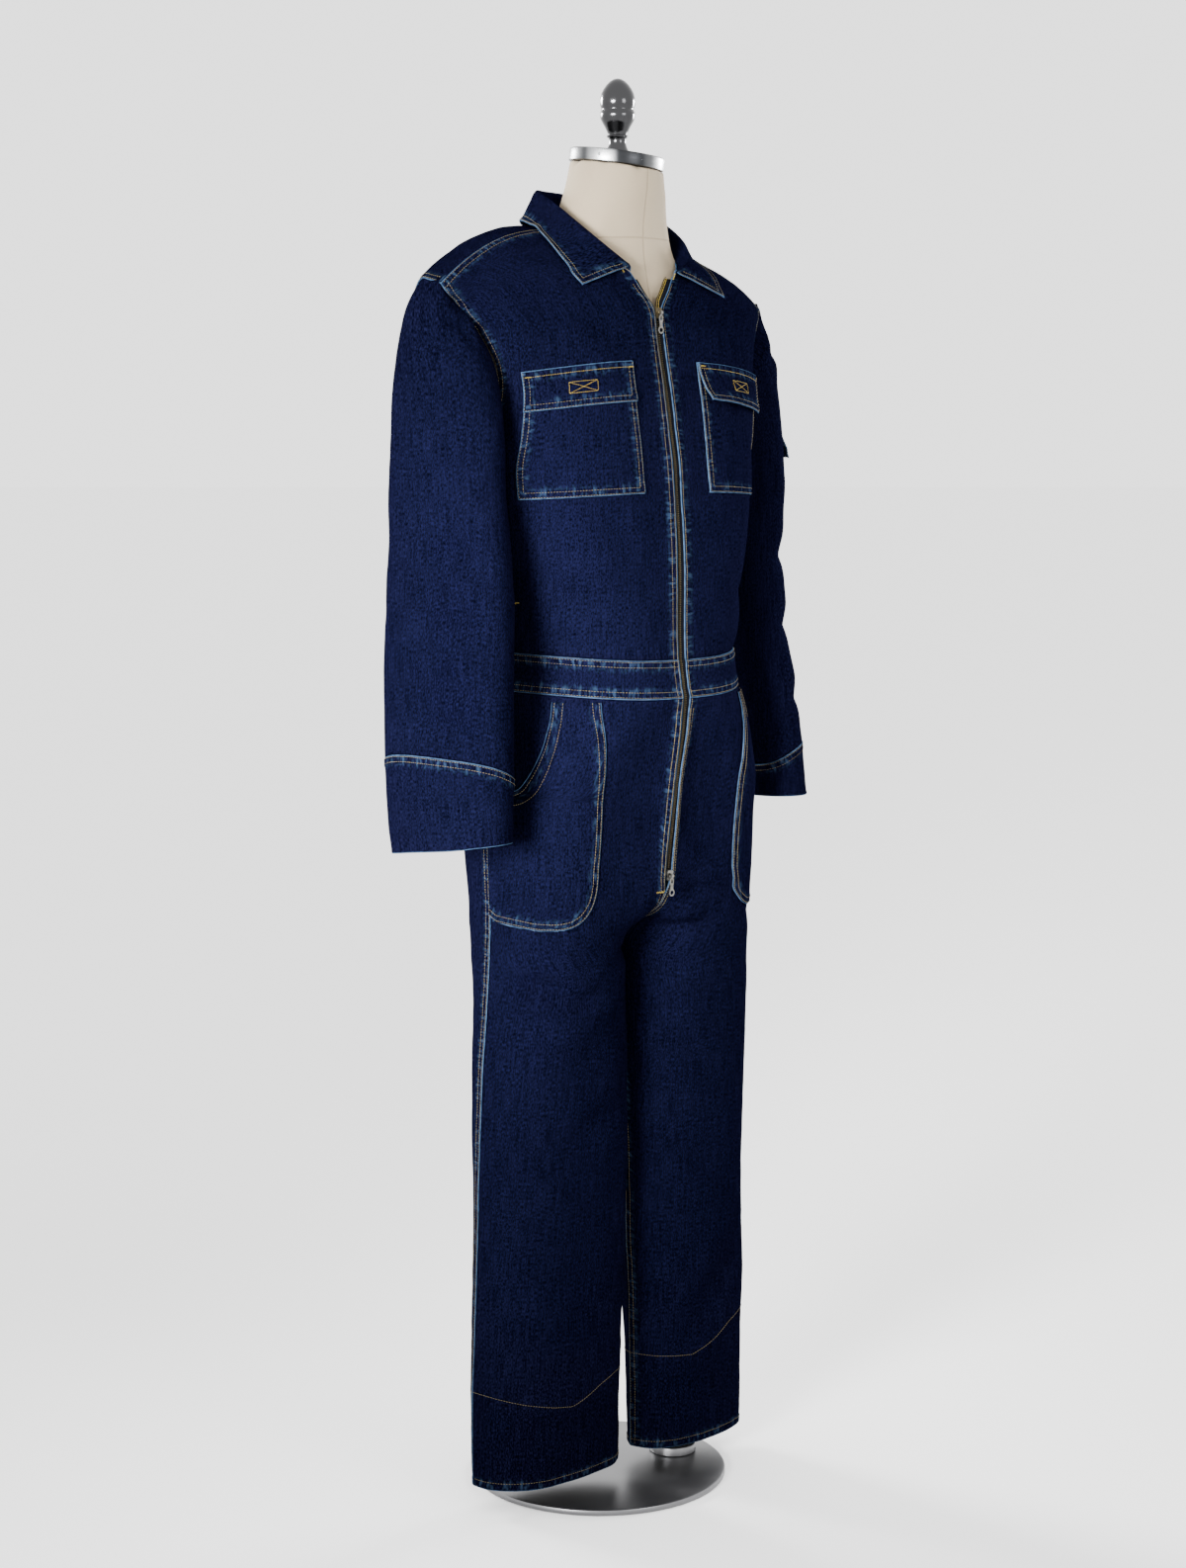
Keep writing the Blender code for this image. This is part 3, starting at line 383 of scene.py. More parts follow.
# ---- Trouser legs ------------------------------------------------------------------------------
# Two fronts and two backs of dark indigo twill, felled at the outseam and inseam, with a shaped
# hem band and a narrow turned-up hem.  Each is a thin shell on its own solid's outer face.
SIDES = ("low", "high", "right", "left")
RAW = (0, .0040)                    # an edge with no detail: its closest grid lines
FOLD = (0, .0006, .0018, .0060)     # a folded edge: its roll and its flat
FOLD_RISE = (-.0004, .0003, .0006, .0002)
FELL = (0, .0010, .0022, .0098, .0112, .0135)   # a felled seam: its roll, its flat and its far edge
FELL_RISE = (-.00035, .0002, .0006, .0006, .0001, 0)
WALL_RIM = .0024                    # the faces that close a packed wall's edges are narrower
FAR_OFF = .08                       # stands for the distance to a side that isn't worn
LAPPED = .99                        # share of a piece's area left where its seams lap
LEG_WALL = .0013
LEG_CUT = (.37, 1.04)
LEG_MIDDLE_X, LEG_MIDDLE_Y = .104, -.02
LEG_ROWS, HEM_ROW = (.0022, .0082), .0100
FLY_LOW, FLY_GAP, NECK_Z = .778, .0013, 1.499
# The hem band's seam across each leg: (x, height in front, height behind), leftward
HEM_BAND = {
    -1: ((-.205, .150, .150), (-.195, .147, .143), (-.173, .141, .136), (-.137, .133, .131),
         (-.109, .129, .134), (-.081, .138, .140), (-.058, .146, .147), (-.030, .153, .153)),
    1: ((.027, .156, .156), (.054, .153, .150), (.095, .149, .146), (.117, .157, .150),
        (.133, .164, .158), (.160, .179, .172), (.190, .189, .189)),
}
CREASE_PRESS = 2.5                  # every crease is pressed this many times its depth
FELL_RIPPLE = .0007                 # unevenness along a felled seam
WORN_WIDER = .0008                  # how much further in a twice worn edge is rubbed
SEWING_OFF = .0001                  # how far drawn stitches lie off the cloth
TWILL_LEAN = math.radians(27)       # the weave's diagonal
TWILL_LINES, SLUBS, GRAIN, TONES, RUBBING, PUCKERS = 330.0, 520.0, 900.0, 5.0, 130.0, 215.0
RIDGE = .0113                       # where a felled seam's far edge is rubbed
THREAD_TWIST = 900.0
CREASES = (
    # from (x, y, z), to (x, y, z), depth, half width
    ((-.187, -.050, .665), (-.120, -.108, .640), .0032, .011),
    ((-.120, -.108, .640), (-.050, -.100, .652), .0026, .012),
    ((-.186, -.040, .640), (-.140, -.098, .628), -.0020, .013),
    ((.029, -.121, .757), (.117, -.124, .752), .0030, .008),
    ((.033, -.089, .716), (.075, -.110, .706), .0026, .010),
    ((.024, -.100, .738), (.060, -.118, .728), -.0018, .011),
    ((.030, -.074, .566), (.090, -.095, .535), .0024, .015),
    ((.165, -.070, .290), (.095, -.078, .180), .0030, .022),
    ((-.040, -.080, .500), (-.120, -.100, .470), .0020, .020),
    ((.030, -.060, .660), (.080, -.105, .640), .0022, .014),
    ((-.030, -.060, .690), (-.080, -.110, .670), .0024, .012),
    ((-.040, -.090, .600), (-.130, -.104, .560), .0018, .022),
    ((-.150, -.080, .300), (-.060, -.080, .240), .0022, .026),
    ((.060, -.085, .420), (.150, -.085, .380), .0020, .024),
    ((-.269, -.015, 1.443), (-.246, -.058, 1.422), .0030, .008),
    ((-.278, -.004, 1.416), (-.258, -.056, 1.402), .0024, .009),
    ((-.262, -.020, 1.462), (-.240, -.050, 1.447), .0018, .008),
    ((.262, -.015, 1.420), (.244, -.050, 1.400), .0030, .010),
    ((-.300, -.060, 1.190), (-.262, -.105, 1.150), .0026, .016),
    ((-.296, -.040, 1.130), (-.268, -.108, 1.080), .0028, .017),
    ((-.298, -.050, 1.060), (-.262, -.112, 1.030), -.0018, .016),
    ((-.300, -.020, .985), (-.270, -.108, .960), .0024, .014),
    ((.290, -.040, 1.180), (.250, -.062, 1.150), .0026, .016),
    ((.288, -.050, 1.090), (.252, -.074, 1.060), .0026, .016),
    ((.296, -.060, 1.000), (.260, -.090, .975), .0022, .014),
    ((.220, .050, 1.240), (.262, .100, 1.190), .0030, .016),
    ((-.215, .040, 1.250), (-.262, .058, 1.200), .0030, .016),
    ((-.225, .050, 1.150), (-.270, .055, 1.100), .0026, .017),
    ((-.142, -.086, 1.470), (-.060, -.116, 1.425), .0016, .020),
    ((-.190, -.050, 1.500), (-.140, -.098, 1.425), .0016, .022),
    ((-.150, -.095, 1.128), (-.100, -.128, 1.100), .0020, .018),
    ((.150, -.095, 1.140), (.100, -.132, 1.090), .0022, .018),
    ((-.120, -.130, 1.220), (-.070, -.146, 1.170), .0016, .020),
    ((.110, -.132, 1.215), (.060, -.148, 1.180), .0016, .018),
    ((-.165, -.060, 1.320), (-.170, -.050, 1.200), -.0022, .016),
    ((.168, -.050, 1.310), (.172, -.040, 1.200), -.0022, .016),
    ((-.170, .060, 1.160), (-.080, .110, 1.110), .0030, .020),
    ((.170, .062, 1.170), (.080, .112, 1.105), .0030, .020),
    ((-.080, .112, 1.130), (.060, .120, 1.085), .0026, .018),
    ((.090, .112, 1.140), (-.040, .122, 1.100), -.0020, .018),
    ((-.190, .080, 1.420), (-.120, .122, 1.330), .0024, .022),
    ((.190, .082, 1.410), (.120, .124, 1.320), .0024, .022),
    ((-.060, .130, 1.300), (.060, .132, 1.270), .0018, .024),
    ((-.100, .100, .860), (-.040, .096, .820), .0030, .018),
    ((.100, .100, .865), (.040, .096, .815), .0030, .018),
    ((-.130, .086, .800), (-.040, .078, .760), .0032, .014),
    ((.130, .086, .800), (.040, .078, .765), .0032, .014),
    ((-.150, .072, .740), (-.050, .060, .715), .0026, .013),
    ((.150, .072, .735), (.050, .060, .712), .0026, .013),
    ((-.150, .050, .480), (-.060, .060, .440), .0028, .020),
    ((.160, .050, .490), (.070, .060, .445), .0028, .020),
    ((-.140, .052, .400), (-.060, .056, .430), .0022, .018),
    ((.150, .052, .400), (.070, .056, .425), .0022, .018),
    ((-.120, .046, .200), (-.050, .046, .160), .0020, .022),
    ((.140, .046, .210), (.080, .046, .160), .0020, .022),
)


def length(line):
    """How long a line of points is."""
    return np.linalg.norm(np.diff(line, axis=0), axis=1).sum()


def walked(line):
    """How far each point of a line is from its start."""
    return np.concatenate(([0], np.cumsum(np.linalg.norm(np.diff(line, axis=0), axis=1))))


def at(places, far, table):
    """The rows of a table at given distances, far being the distance of each row."""
    return np.column_stack([np.interp(places, far, column) for column in table.T])


def unit(ways):
    """Directions made one long."""
    return ways / np.maximum(np.linalg.norm(ways, axis=-1), 1e-12)[..., None]


def quads(index):
    """The faces of a grid of point numbers."""
    return np.stack((index[:-1, :-1], index[:-1, 1:], index[1:, 1:], index[1:, :-1]), axis=2).reshape(-1, 4)


def strip(a, b):
    """The faces between two rows of point numbers."""
    return np.stack((a[1:], a[:-1], b[:-1], b[1:]), axis=1)


def outer_side(body, middle, half):
    """The faces of a packed wall that look away from its middle; half keeps one side of x = 0."""
    faces = {f for f in body.faces if min(e.calc_length() for e in f.edges) > WALL_RIM
             and f.calc_center_median().x * half >= 0}
    sheets = []
    while faces:
        found = [faces.pop()]
        for face in found:
            near = {f for e in face.edges for f in e.link_faces} & faces
            faces -= near
            found += near
        sheets.append(found)

    def facing(found):
        spots = [(f.calc_center_median(), f.normal, f.calc_area()) for f in found]
        return sum(a * (n.x * (c.x - middle[0]) + n.y * (c.y - middle[1])) for c, n, a in spots)
    return set(max(sheets, key=facing))


def border_loop(outer):
    """The border of a set of faces as one loop of corners, from its lowest."""
    near = {}
    for e in {e for f in outer for e in f.edges if len(set(e.link_faces) & outer) == 1}:
        for v in e.verts:
            near.setdefault(v, []).append(e.other_vert(v))
    first = min(near, key=lambda v: v.co.z)
    loop = [first, near[first][0]]
    while loop[-1] is not first:
        loop.append(next(v for v in near[loop[-1]] if v is not loop[-2]))
    return loop[:-1]


def four_sides(loop, outer):
    """A border cut at its four sharpest corners, a level side first."""
    def bend(k):
        a = loop[k - 1].co - loop[k].co
        b = loop[(k + 1) % len(loop)].co - loop[k].co
        return a.angle(b) + .35 * len([f for f in loop[k].link_faces if f in outer])
    corners = sorted(sorted(range(len(loop)), key=bend)[:4])
    loop = loop[corners[0]:] + loop[:corners[0]] + [loop[corners[0]]]
    cut = [c - corners[0] for c in corners] + [len(loop) - 1]
    sides = [loop[a:b + 1] for a, b in zip(cut, cut[1:])]
    steep = [abs(s[-1].co.z - s[0].co.z) / sum((a.co - b.co).length for a, b in zip(s, s[1:])) for s in sides]
    return sides[1:] + sides[:1] if steep[0] + steep[2] > steep[1] + steep[3] else sides


def coarse_grid(node, middle, ring=False, half=0):
    """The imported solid's outer face as rows of points: upward, and leftward as the wearer has it."""
    body = bmesh.new()
    body.from_mesh(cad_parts[node].data)
    bmesh.ops.remove_doubles(body, verts=body.verts, dist=SOLID_MERGE)
    outer = outer_side(body, middle, half)
    row = border_loop(outer)
    if ring:
        count = len(outer) // 2 // len(row)
        row = row + row[:1]
    else:
        sides = four_sides(row, outer)
        row, edge = sides[0][::-1], sides[1]
        count = len(edge) - 1
    grid = [row]
    left = set(outer)

    def apex(a, b):
        for f in a.link_faces:
            if f in left and b in f.verts:
                left.discard(f)
                return next(v for v in f.verts if v is not a and v is not b)
        return None
    for k in range(count):
        row = grid[-1]
        if ring:
            tips = [apex(a, b) for a, b in zip(row, row[1:])]
            lean = sum((t.co - a.co).length - (t.co - b.co).length for t, a, b in zip(tips, row, row[1:]))
            line = tips[-1:] + tips if lean > 0 else tips + tips[:1]
            left -= {f for v in row for f in v.link_faces}
        else:
            line = [edge[k + 1]]
            for a, b in zip(row, row[1:]):
                tip = apex(a, b)
                if tip is line[-1]:
                    tip = apex(b, tip)
                else:
                    apex(a, tip)
                line.append(tip)
        grid.append(line)
    grid = np.array([[v.co[:] for v in line] for line in grid])
    body.free()
    if grid[0, :, 2].mean() > grid[-1, :, 2].mean():
        grid = grid[::-1]
    across_way = grid[:-1, 1:] - grid[:-1, :-1]
    up_way = grid[1:, :-1] - grid[:-1, :-1]
    out = np.cross(across_way, up_way)[..., :2]
    if (out * (grid[:-1, :-1, :2] - np.array(middle))).sum() < 0:
        grid = grid[:, ::-1]
    if ring:
        inner = int(np.abs(grid[0, :-1, 0]).argmin())
        grid = np.concatenate((grid[:, inner:-1], grid[:, :inner + 1]), axis=1)
    return grid


def along(line, places, ring=False):
    """Points at given distances on a smooth curve through a line of points."""
    step = np.diff(line, axis=0)
    gap = np.linalg.norm(step, axis=1)
    slope = step / gap[:, None]
    lean = np.empty_like(line)
    lean[1:-1] = (slope[:-1] * gap[1:, None] + slope[1:] * gap[:-1, None]) / (gap[1:] + gap[:-1])[:, None]
    if ring:
        lean[0] = lean[-1] = (slope[-1] * gap[0] + slope[0] * gap[-1]) / (gap[0] + gap[-1])
    else:
        lean[0] = 1.5 * slope[0] - .5 * lean[1]
        lean[-1] = 1.5 * slope[-1] - .5 * lean[-2]
    knots = walked(line)
    k = np.clip(np.searchsorted(knots, places, side="right") - 1, 0, len(gap) - 1)
    h = gap[k][:, None]
    t = ((places - knots[k]) / gap[k])[:, None]
    return (line[k] * (1 + 2 * t) * (1 - t) ** 2 + line[k + 1] * t * t * (3 - 2 * t)
            + lean[k] * h * t * (1 - t) ** 2 - lean[k + 1] * h * t * t * (1 - t))


def spread(line, count, low, high):
    """Distances along a line: the named offsets at both ends and even steps between them."""
    a, b = np.array(low), length(line) - np.array(high)[::-1]
    return np.concatenate((a, np.linspace(a[-1], b[0], count + 2)[1:-1], b))


def fall(points, normals, calm):
    """Set a grid of points in or out for its creases, its slow unevenness and its calm edges."""
    flat, ways = points.reshape(-1, 3), normals.reshape(-1, 3)
    lift = np.zeros(len(flat))
    for start, end, depth, breadth in CREASES:
        start, run = np.array(start), np.array(end) - np.array(start)
        share = np.clip((flat - start) @ run / (run @ run), -.3, 1.3)
        off = flat - start - share[:, None] * run - .006 * np.sin(3 * share)[:, None]
        deep = (off * ways).sum(axis=1)
        gap = np.linalg.norm(off - deep[:, None] * ways, axis=1) / breadth
        near = (gap < 3.5) & (np.abs(deep) < .05)
        trough = np.exp(-gap[near] ** 2) - .45 * np.exp(-(gap[near] - 1.7) ** 2)
        lift[near] -= CREASE_PRESS * depth * trough * np.clip(1.15 - np.abs(share[near] - .5) * 1.5, 0, 1)
    slow = [noise.noise(Vector((x * 9, y * 9, z * 4.5))) * .0038
            + noise.noise(Vector((x * 26 + 5, y * 26, z * 15))) * .0014
            + noise.noise(Vector((x * 60 + 9, y * 60, z * 52))) * .00035 for x, y, z in flat.tolist()]
    lift = (lift + np.array(slow)).reshape(points.shape[:2]) * calm
    return points + normals * lift[..., None]


def grid_normals(points, ring=False):
    """Outward normals of a grid of points."""
    side = np.gradient(points, axis=1)
    if ring:
        side[:, 0] = side[:, -1] = (points[:, 1] - points[:, -2]) / 2
    return unit(np.cross(side, np.gradient(points, axis=0)))


def distances(points, axis):
    """How far each point of a grid is along its own line."""
    gap = np.linalg.norm(np.diff(points, axis=axis), axis=2)
    start = np.zeros((points.shape[0], 1) if axis == 1 else (1, points.shape[1]))
    return np.concatenate((start, np.cumsum(gap, axis=axis)), axis=axis)


def fine(coarse, size, ring=False, **kinds):
    """A smooth fine grid through a coarse one, with closer lines where the sides are sewn or folded."""
    low, high, right, left = (kinds.get(side, RAW) for side in SIDES)
    tall = [along(line, spread(line, size[0], low, high)) for line in coarse.transpose(1, 0, 2)]
    if ring:
        right = left = (0,)
    return np.array([along(row, spread(row, size[1], right, left), ring) for row in np.stack(tall, axis=1)])


class Cloth:
    """One cut piece as a fine grid; kinds says which of its sides are folded or felled."""

    def __init__(self, points, ring=False, still=(0, 0, 0, 0), creased=True, rim=None, **kinds):
        self.ring = ring
        self.worn = {side: int(kinds.get(side, RAW) is not RAW) for side in SIDES}
        normals = grid_normals(points, ring)
        self.across = distances(points, 1)
        self.up = distances(points, 0)
        ends = [self.up, self.up[-1] - self.up, self.across, self.across[:, -1:] - self.across]
        if rim is not None:
            ends = [rim] + [rim + FAR_OFF] * 3
        calm = np.ones(points.shape[:2])
        for end, reach in zip(ends, still):
            if reach:
                calm *= np.clip(end / reach, 0, 1) ** 1.3
        if creased:
            points = fall(points, normals, calm)
        for side, end in zip(SIDES, ends):
            if kinds.get(side) is FELL:
                ripple = np.array([[noise.noise(Vector(p) * 75) for p in row] for row in points.tolist()])
                ripple = ripple * FELL_RIPPLE * np.clip(1.2 - end / .022, 0, 1) * np.clip(end / .003, 0, 1)
                points = points + normals * (np.interp(end, FELL, FELL_RISE) + ripple)[..., None]
            elif kinds.get(side) is FOLD:
                points = points + normals * np.interp(end, FOLD, FOLD_RISE)[..., None]
        self.points = points
        self.normals = grid_normals(points, ring)
        self.ends = dict(zip(SIDES, ends))
        self.banded = np.zeros(points.shape[:2])

    @property
    def area(self):
        p = self.points
        twice = np.cross(p[1:, 1:] - p[:-1, :-1], p[1:, :-1] - p[:-1, 1:])
        return float(np.linalg.norm(twice, axis=2).sum() / 2)

    @property
    def size(self):
        return float(self.across[:, -1].max()), float(self.up[-1].max())

    def trim(self, column):
        """Drop an edge column that only guided the shape."""
        keep = slice(None, -1) if column else slice(1, None)
        self.points, self.normals, self.up, self.banded = (
            table[:, keep] for table in (self.points, self.normals, self.up, self.banded))
        self.ends = {side: end[:, keep] for side, end in self.ends.items()}
        self.across = distances(self.points, 1)

    def shell(self, open_below):
        """The faces of the closed wall: its outer ones, its inner ones and those that join them."""
        rows, columns = self.points.shape[:2]
        outer = np.arange(rows * columns).reshape(rows, columns)
        if self.ring:
            outer[:, -1] = outer[:, 0]
        inner = outer + rows * columns
        rims = [(outer[0], inner[0]), (outer[-1, ::-1], inner[-1, ::-1])]
        if not self.ring:
            right, left = (open_below.get(side, 0) for side in ("right", "left"))
            rims += [(outer[right:, 0][::-1], inner[right:, 0][::-1]), (outer[left:, -1], inner[left:, -1])]
        return [quads(outer), quads(inner)[:, ::-1]] + [strip(*rim) for rim in rims]

    def edge_colours(self, worn, smooth):
        """How near each point is to a worn side and end, whether it puckers, and the hem band."""
        worn = {**self.worn, **worn}
        gaps = []
        for pair in (SIDES[2:], SIDES[:2]):
            near = [self.ends[side] - WORN_WIDER * (worn[side] - 1) for side in pair if worn[side]]
            gaps.append(np.minimum.reduce(near) if near else np.full(self.points.shape[:2], FAR_OFF))
        pucker = np.ones(self.points.shape[:2])
        for side in smooth:
            pucker = np.minimum(pucker, np.clip((self.ends[side] - .018) / .006, 0, 1))
        return np.stack((*gaps, pucker, self.banded), axis=2).reshape(-1, 4)

    def flat_places(self, corner, grain):
        """The flat coordinates of each face corner, in metres from the grain line."""
        columns = self.points.shape[1]
        u = (self.across - self.across[:, [grain]]).reshape(-1)
        v = np.repeat(self.up[:, grain] + self.points[0, grain, 2], columns)
        where = np.column_stack((u, v))[corner]
        if self.ring:
            wrap = (corner % columns).reshape(-1, 4)
            crossing = (wrap.max(axis=1) == columns - 2) & (wrap.min(axis=1) == 0)
            last = (self.across[:, -1] - self.across[:, grain])[corner // columns]
            where[:, 0] = np.where((crossing[:, None] & (wrap == 0)).reshape(-1), last, where[:, 0])
        return where

    def make(self, name, wall, shades, worn={}, grain=None, open_below={}, smooth=()):
        """The closed thin shell, with its flat coordinates and its worn edges as a colour."""
        p, total = self.points, self.points.shape[0] * self.points.shape[1]
        faces = self.shell(open_below)
        outside, inside = len(faces[0]), len(faces[1])
        faces = np.concatenate(faces)
        points = np.concatenate((p.reshape(-1, 3), (p - self.normals * wall).reshape(-1, 3)))
        used, renumbered = np.unique(faces, return_inverse=True)
        mesh = bpy.data.meshes.new(name)
        mesh.from_pydata(points[used].tolist(), [], renumbered.reshape(-1, 4).tolist())
        flat = self.flat_places(faces.reshape(-1) % total, p.shape[1] // 2 if grain is None else grain)
        mesh.uv_layers.new(name="UVMap").data.foreach_set("uv", flat.reshape(-1).astype(np.float32))
        edge = mesh.color_attributes.new(name="edge", type="FLOAT_COLOR", domain="POINT")
        colours = self.edge_colours(worn, smooth)[used % total]
        edge.data.foreach_set("color", colours.astype(np.float32).reshape(-1))
        for shade in shades:
            mesh.materials.append(shade.material)
        index = np.zeros(len(faces), np.int32)
        index[outside:outside + inside] = len(shades) - 1
        mesh.polygons.foreach_set("material_index", index)
        mesh.polygons.foreach_set("use_smooth", [True] * len(faces))
        made = bpy.data.objects.new(name, mesh)
        bpy.context.scene.collection.objects.link(made)
        return made

    def spot(self, across, up):
        """The point and normal at a distance across and up the piece."""
        i = np.interp(up, self.up[:, self.up.shape[1] // 2], np.arange(self.up.shape[0]))
        k = np.interp(across, self.across[int(i)], np.arange(self.across.shape[1]))
        i0, k0 = min(int(i), self.up.shape[0] - 2), min(int(k), self.across.shape[1] - 2)
        found = []
        for table in (self.points, self.normals):
            a = table[i0, k0] * (1 - k + k0) + table[i0, k0 + 1] * (k - k0)
            b = table[i0 + 1, k0] * (1 - k + k0) + table[i0 + 1, k0 + 1] * (k - k0)
            found.append(a * (1 - i + i0) + b * (i - i0))
        return found

    def drawn(self, corners):
        """A line of points on the piece through corners given as distances across and up."""
        path = []
        for a, b in zip(corners, corners[1:]):
            count = max(2, int(math.dist(a, b) / .0012))
            path += [(a[0] + (b[0] - a[0]) * t, a[1] + (b[1] - a[1]) * t) for t in np.linspace(0, 1, count)]
        line, way = (np.array(table) for table in zip(*[self.spot(*place) for place in path]))
        return line + way * SEWING_OFF, way

    def inset(self, side, gap, start=0.0, end=0.0):
        """The line of points at a distance in from one side, with the cloth's normals there."""
        table = np.concatenate((self.points, self.normals), axis=2)
        if side in ("right", "left"):
            table = table.transpose(1, 0, 2)
        if side in ("high", "left"):
            table = table[::-1]
        line = np.array([at([gap], walked(column[:, :3]), column)[0] for column in table.transpose(1, 0, 2)])
        far = walked(line[:, :3])
        places = np.linspace(start, far[-1] - end, max(2, int((far[-1] - start - end) / .0025)))
        line = at(places, far, line)
        return line[:, :3], line[:, 3:]


def sew(name, rows, shade, pitch=.0034, thick=.00030):
    """Top-stitching: short raised threads along lines of points, each sunk at both ends."""
    points, faces, half = [], [], pitch * .40
    for line, way in rows:
        far = walked(line)
        count = int(far[-1] / pitch)
        middle = (np.arange(count) + .5) * far[-1] / max(count, 1)
        out = unit(at(middle, far, way))
        a, b = at(middle - half, far, line), at(middle + half, far, line)
        run = unit(b - a)
        side = np.cross(run, out)
        corners = [a - out * thick * .6]
        for place in (a + run * half * .35, b - run * half * .35):
            corners += [place + side * thick, place + out * thick * 1.3,
                        place - side * thick, place - out * thick]
        corners.append(b - out * thick * .6)
        first = sum(len(p) for p in points) + np.arange(count)[:, None] * len(corners)
        points.append(np.stack(corners, axis=1).reshape(-1, 3))
        for k in range(4):
            m = (k + 1) % 4
            for face in ((0, 1 + m, 1 + k), (1 + k, 1 + m, 5 + m, 5 + k), (9, 5 + k, 5 + m)):
                faces += (first + face).tolist()
    made = new_piece(name, np.concatenate(points).tolist(), faces, shade)
    made.data.polygons.foreach_set("use_smooth", [True] * len(made.data.polygons))
    hand_over(made, "denim")


def denim(name, deep, pale, worn):
    """Twill: dark warp over pale weft, slubs up the warp, cloth rubbed pale along its edges, and painted shade
    by height and on the sleeves.
    """
    cloth = Shade(name, Roughness=0.88, Specular_IOR_Level=0.0)
    twill = cloth.ribs(cloth.place(turn=(0, 0, TWILL_LEAN), surface=True), "X", TWILL_LINES, 0.8, 1.0, 2.0)
    slub = cloth.cloud(cloth.place((1, .045, 1), surface=True), SLUBS, 3.0, 0.62)
    grain = cloth.cloud(cloth.place((1, .30, 1), surface=True), GRAIN, 2.0, 0.6)
    tone = cloth.cloud(cloth.place(), TONES, 4.0, 0.55)
    rub = cloth.cloud(cloth.place(surface=True), RUBBING, 3.0, 0.6)
    side, end, rippled = cloth.node("Attribute", {"attribute_name": "edge"}, {}).split("SeparateColor")
    band = cloth.node("Attribute", {"attribute_name": "edge"}, {}, 3)

    def puckers(edge, scale):
        """Ripples that run in from an edge to its inner row of stitches."""
        ripple = cloth.cloud(cloth.place(scale, surface=True), PUCKERS, 1.0) - 0.5
        return ripple * (edge.step(.017, .0095) * edge.step(.0012, .0030))
    pucker = (puckers(side, (.30, 1, 1)) + puckers(end, (1, .30, 1))) * rippled
    near = side.least(end)
    roll = near.step(.0016, .0007)
    ridge = abs(near - RIDGE).step(.0019, .0004)
    rubbed = (roll * (0.52 + (rub - 0.5) * 1.5)).most(ridge * (rub - 0.42).step(0, .22) * rippled * 0.07)
    rubbed = rubbed.most((pucker * 4.5).least(0.8) * (rub - .25).step(0, .3) * 0.25)
    body = (slub - 0.5) * 2.3 + (grain - 0.5) * 5.2 + (twill - 0.5) * 0.8 + (tone - 0.5) * 0.45
    body = body + 0.31 - band * 0.11
    # Painted shade: a little paler above the thighs, and darker again at the shoulders and on the sleeves, for
    # light that falls off there
    x, _, height = cloth.place().split("SeparateXYZ")
    body = body + height.step(.64, .88) * 0.16 - height.step(1.26, 1.50) * 0.15 - abs(x).step(.195, .245) * 0.13
    cloth.feed(Base_Color=cloth.mix(rubbed, cloth.mix(body, deep, pale), worn),
               Normal=cloth.bump(twill * 0.10 + slub * 0.16 + grain * 0.14 + pucker * 1.7, 0.0011, 0.85))
    return cloth


def thread(name, colour, dark):
    """Polyester-wrapped cotton thread."""
    made = Shade(name, Roughness=0.7, Specular_IOR_Level=0.08)
    made.feed(Base_Color=made.mix(made.cloud(made.place(), THREAD_TWIST), dark, colour))
    return made


def hang(cloth, node, wall, flat, rests_on, area=None, held="hung", shades=None, **more):
    """Put a piece of the suit's cloth in its solid's place. Its flat, rests_on, area and held are not used."""
    made = cloth.make("cloth_" + node, wall, shades or (indigo, reverse), **more)
    hand_over(made, "denim", node)


def opened(coarse, side, low):
    """The centre front edge drawn back from the zip, above its foot and below the neck."""
    edge = 0 if side > 0 else -1
    height = coarse[:, edge, 2]
    coarse[:, edge, 0] += (side * FLY_GAP * np.clip((height - low) / .025, 0, 1)
                           * np.clip((NECK_Z - height) / .02, 0, 1))
    return coarse


def band_seam(x, side, front):
    """Height of the hem band's seam at places across a leg."""
    places, in_front, behind = zip(*HEM_BAND[side])
    return np.interp(x, places, in_front if front else behind)


def trace(cloth, height):
    """The line on a piece where each column reaches a height, and the normals there."""
    line, ways = [], []
    for column, way in zip(cloth.points.transpose(1, 0, 2), cloth.normals.transpose(1, 0, 2)):
        rise = column[:, 2] - height(column[:, 0])
        over = int(np.argmax(rise > 0))
        share = -rise[over - 1] / (rise[over] - rise[over - 1])
        line.append(column[over - 1] * (1 - share) + column[over] * share)
        ways.append(way[over])
    return np.array(line) + np.array(ways) * .0002, np.array(ways)


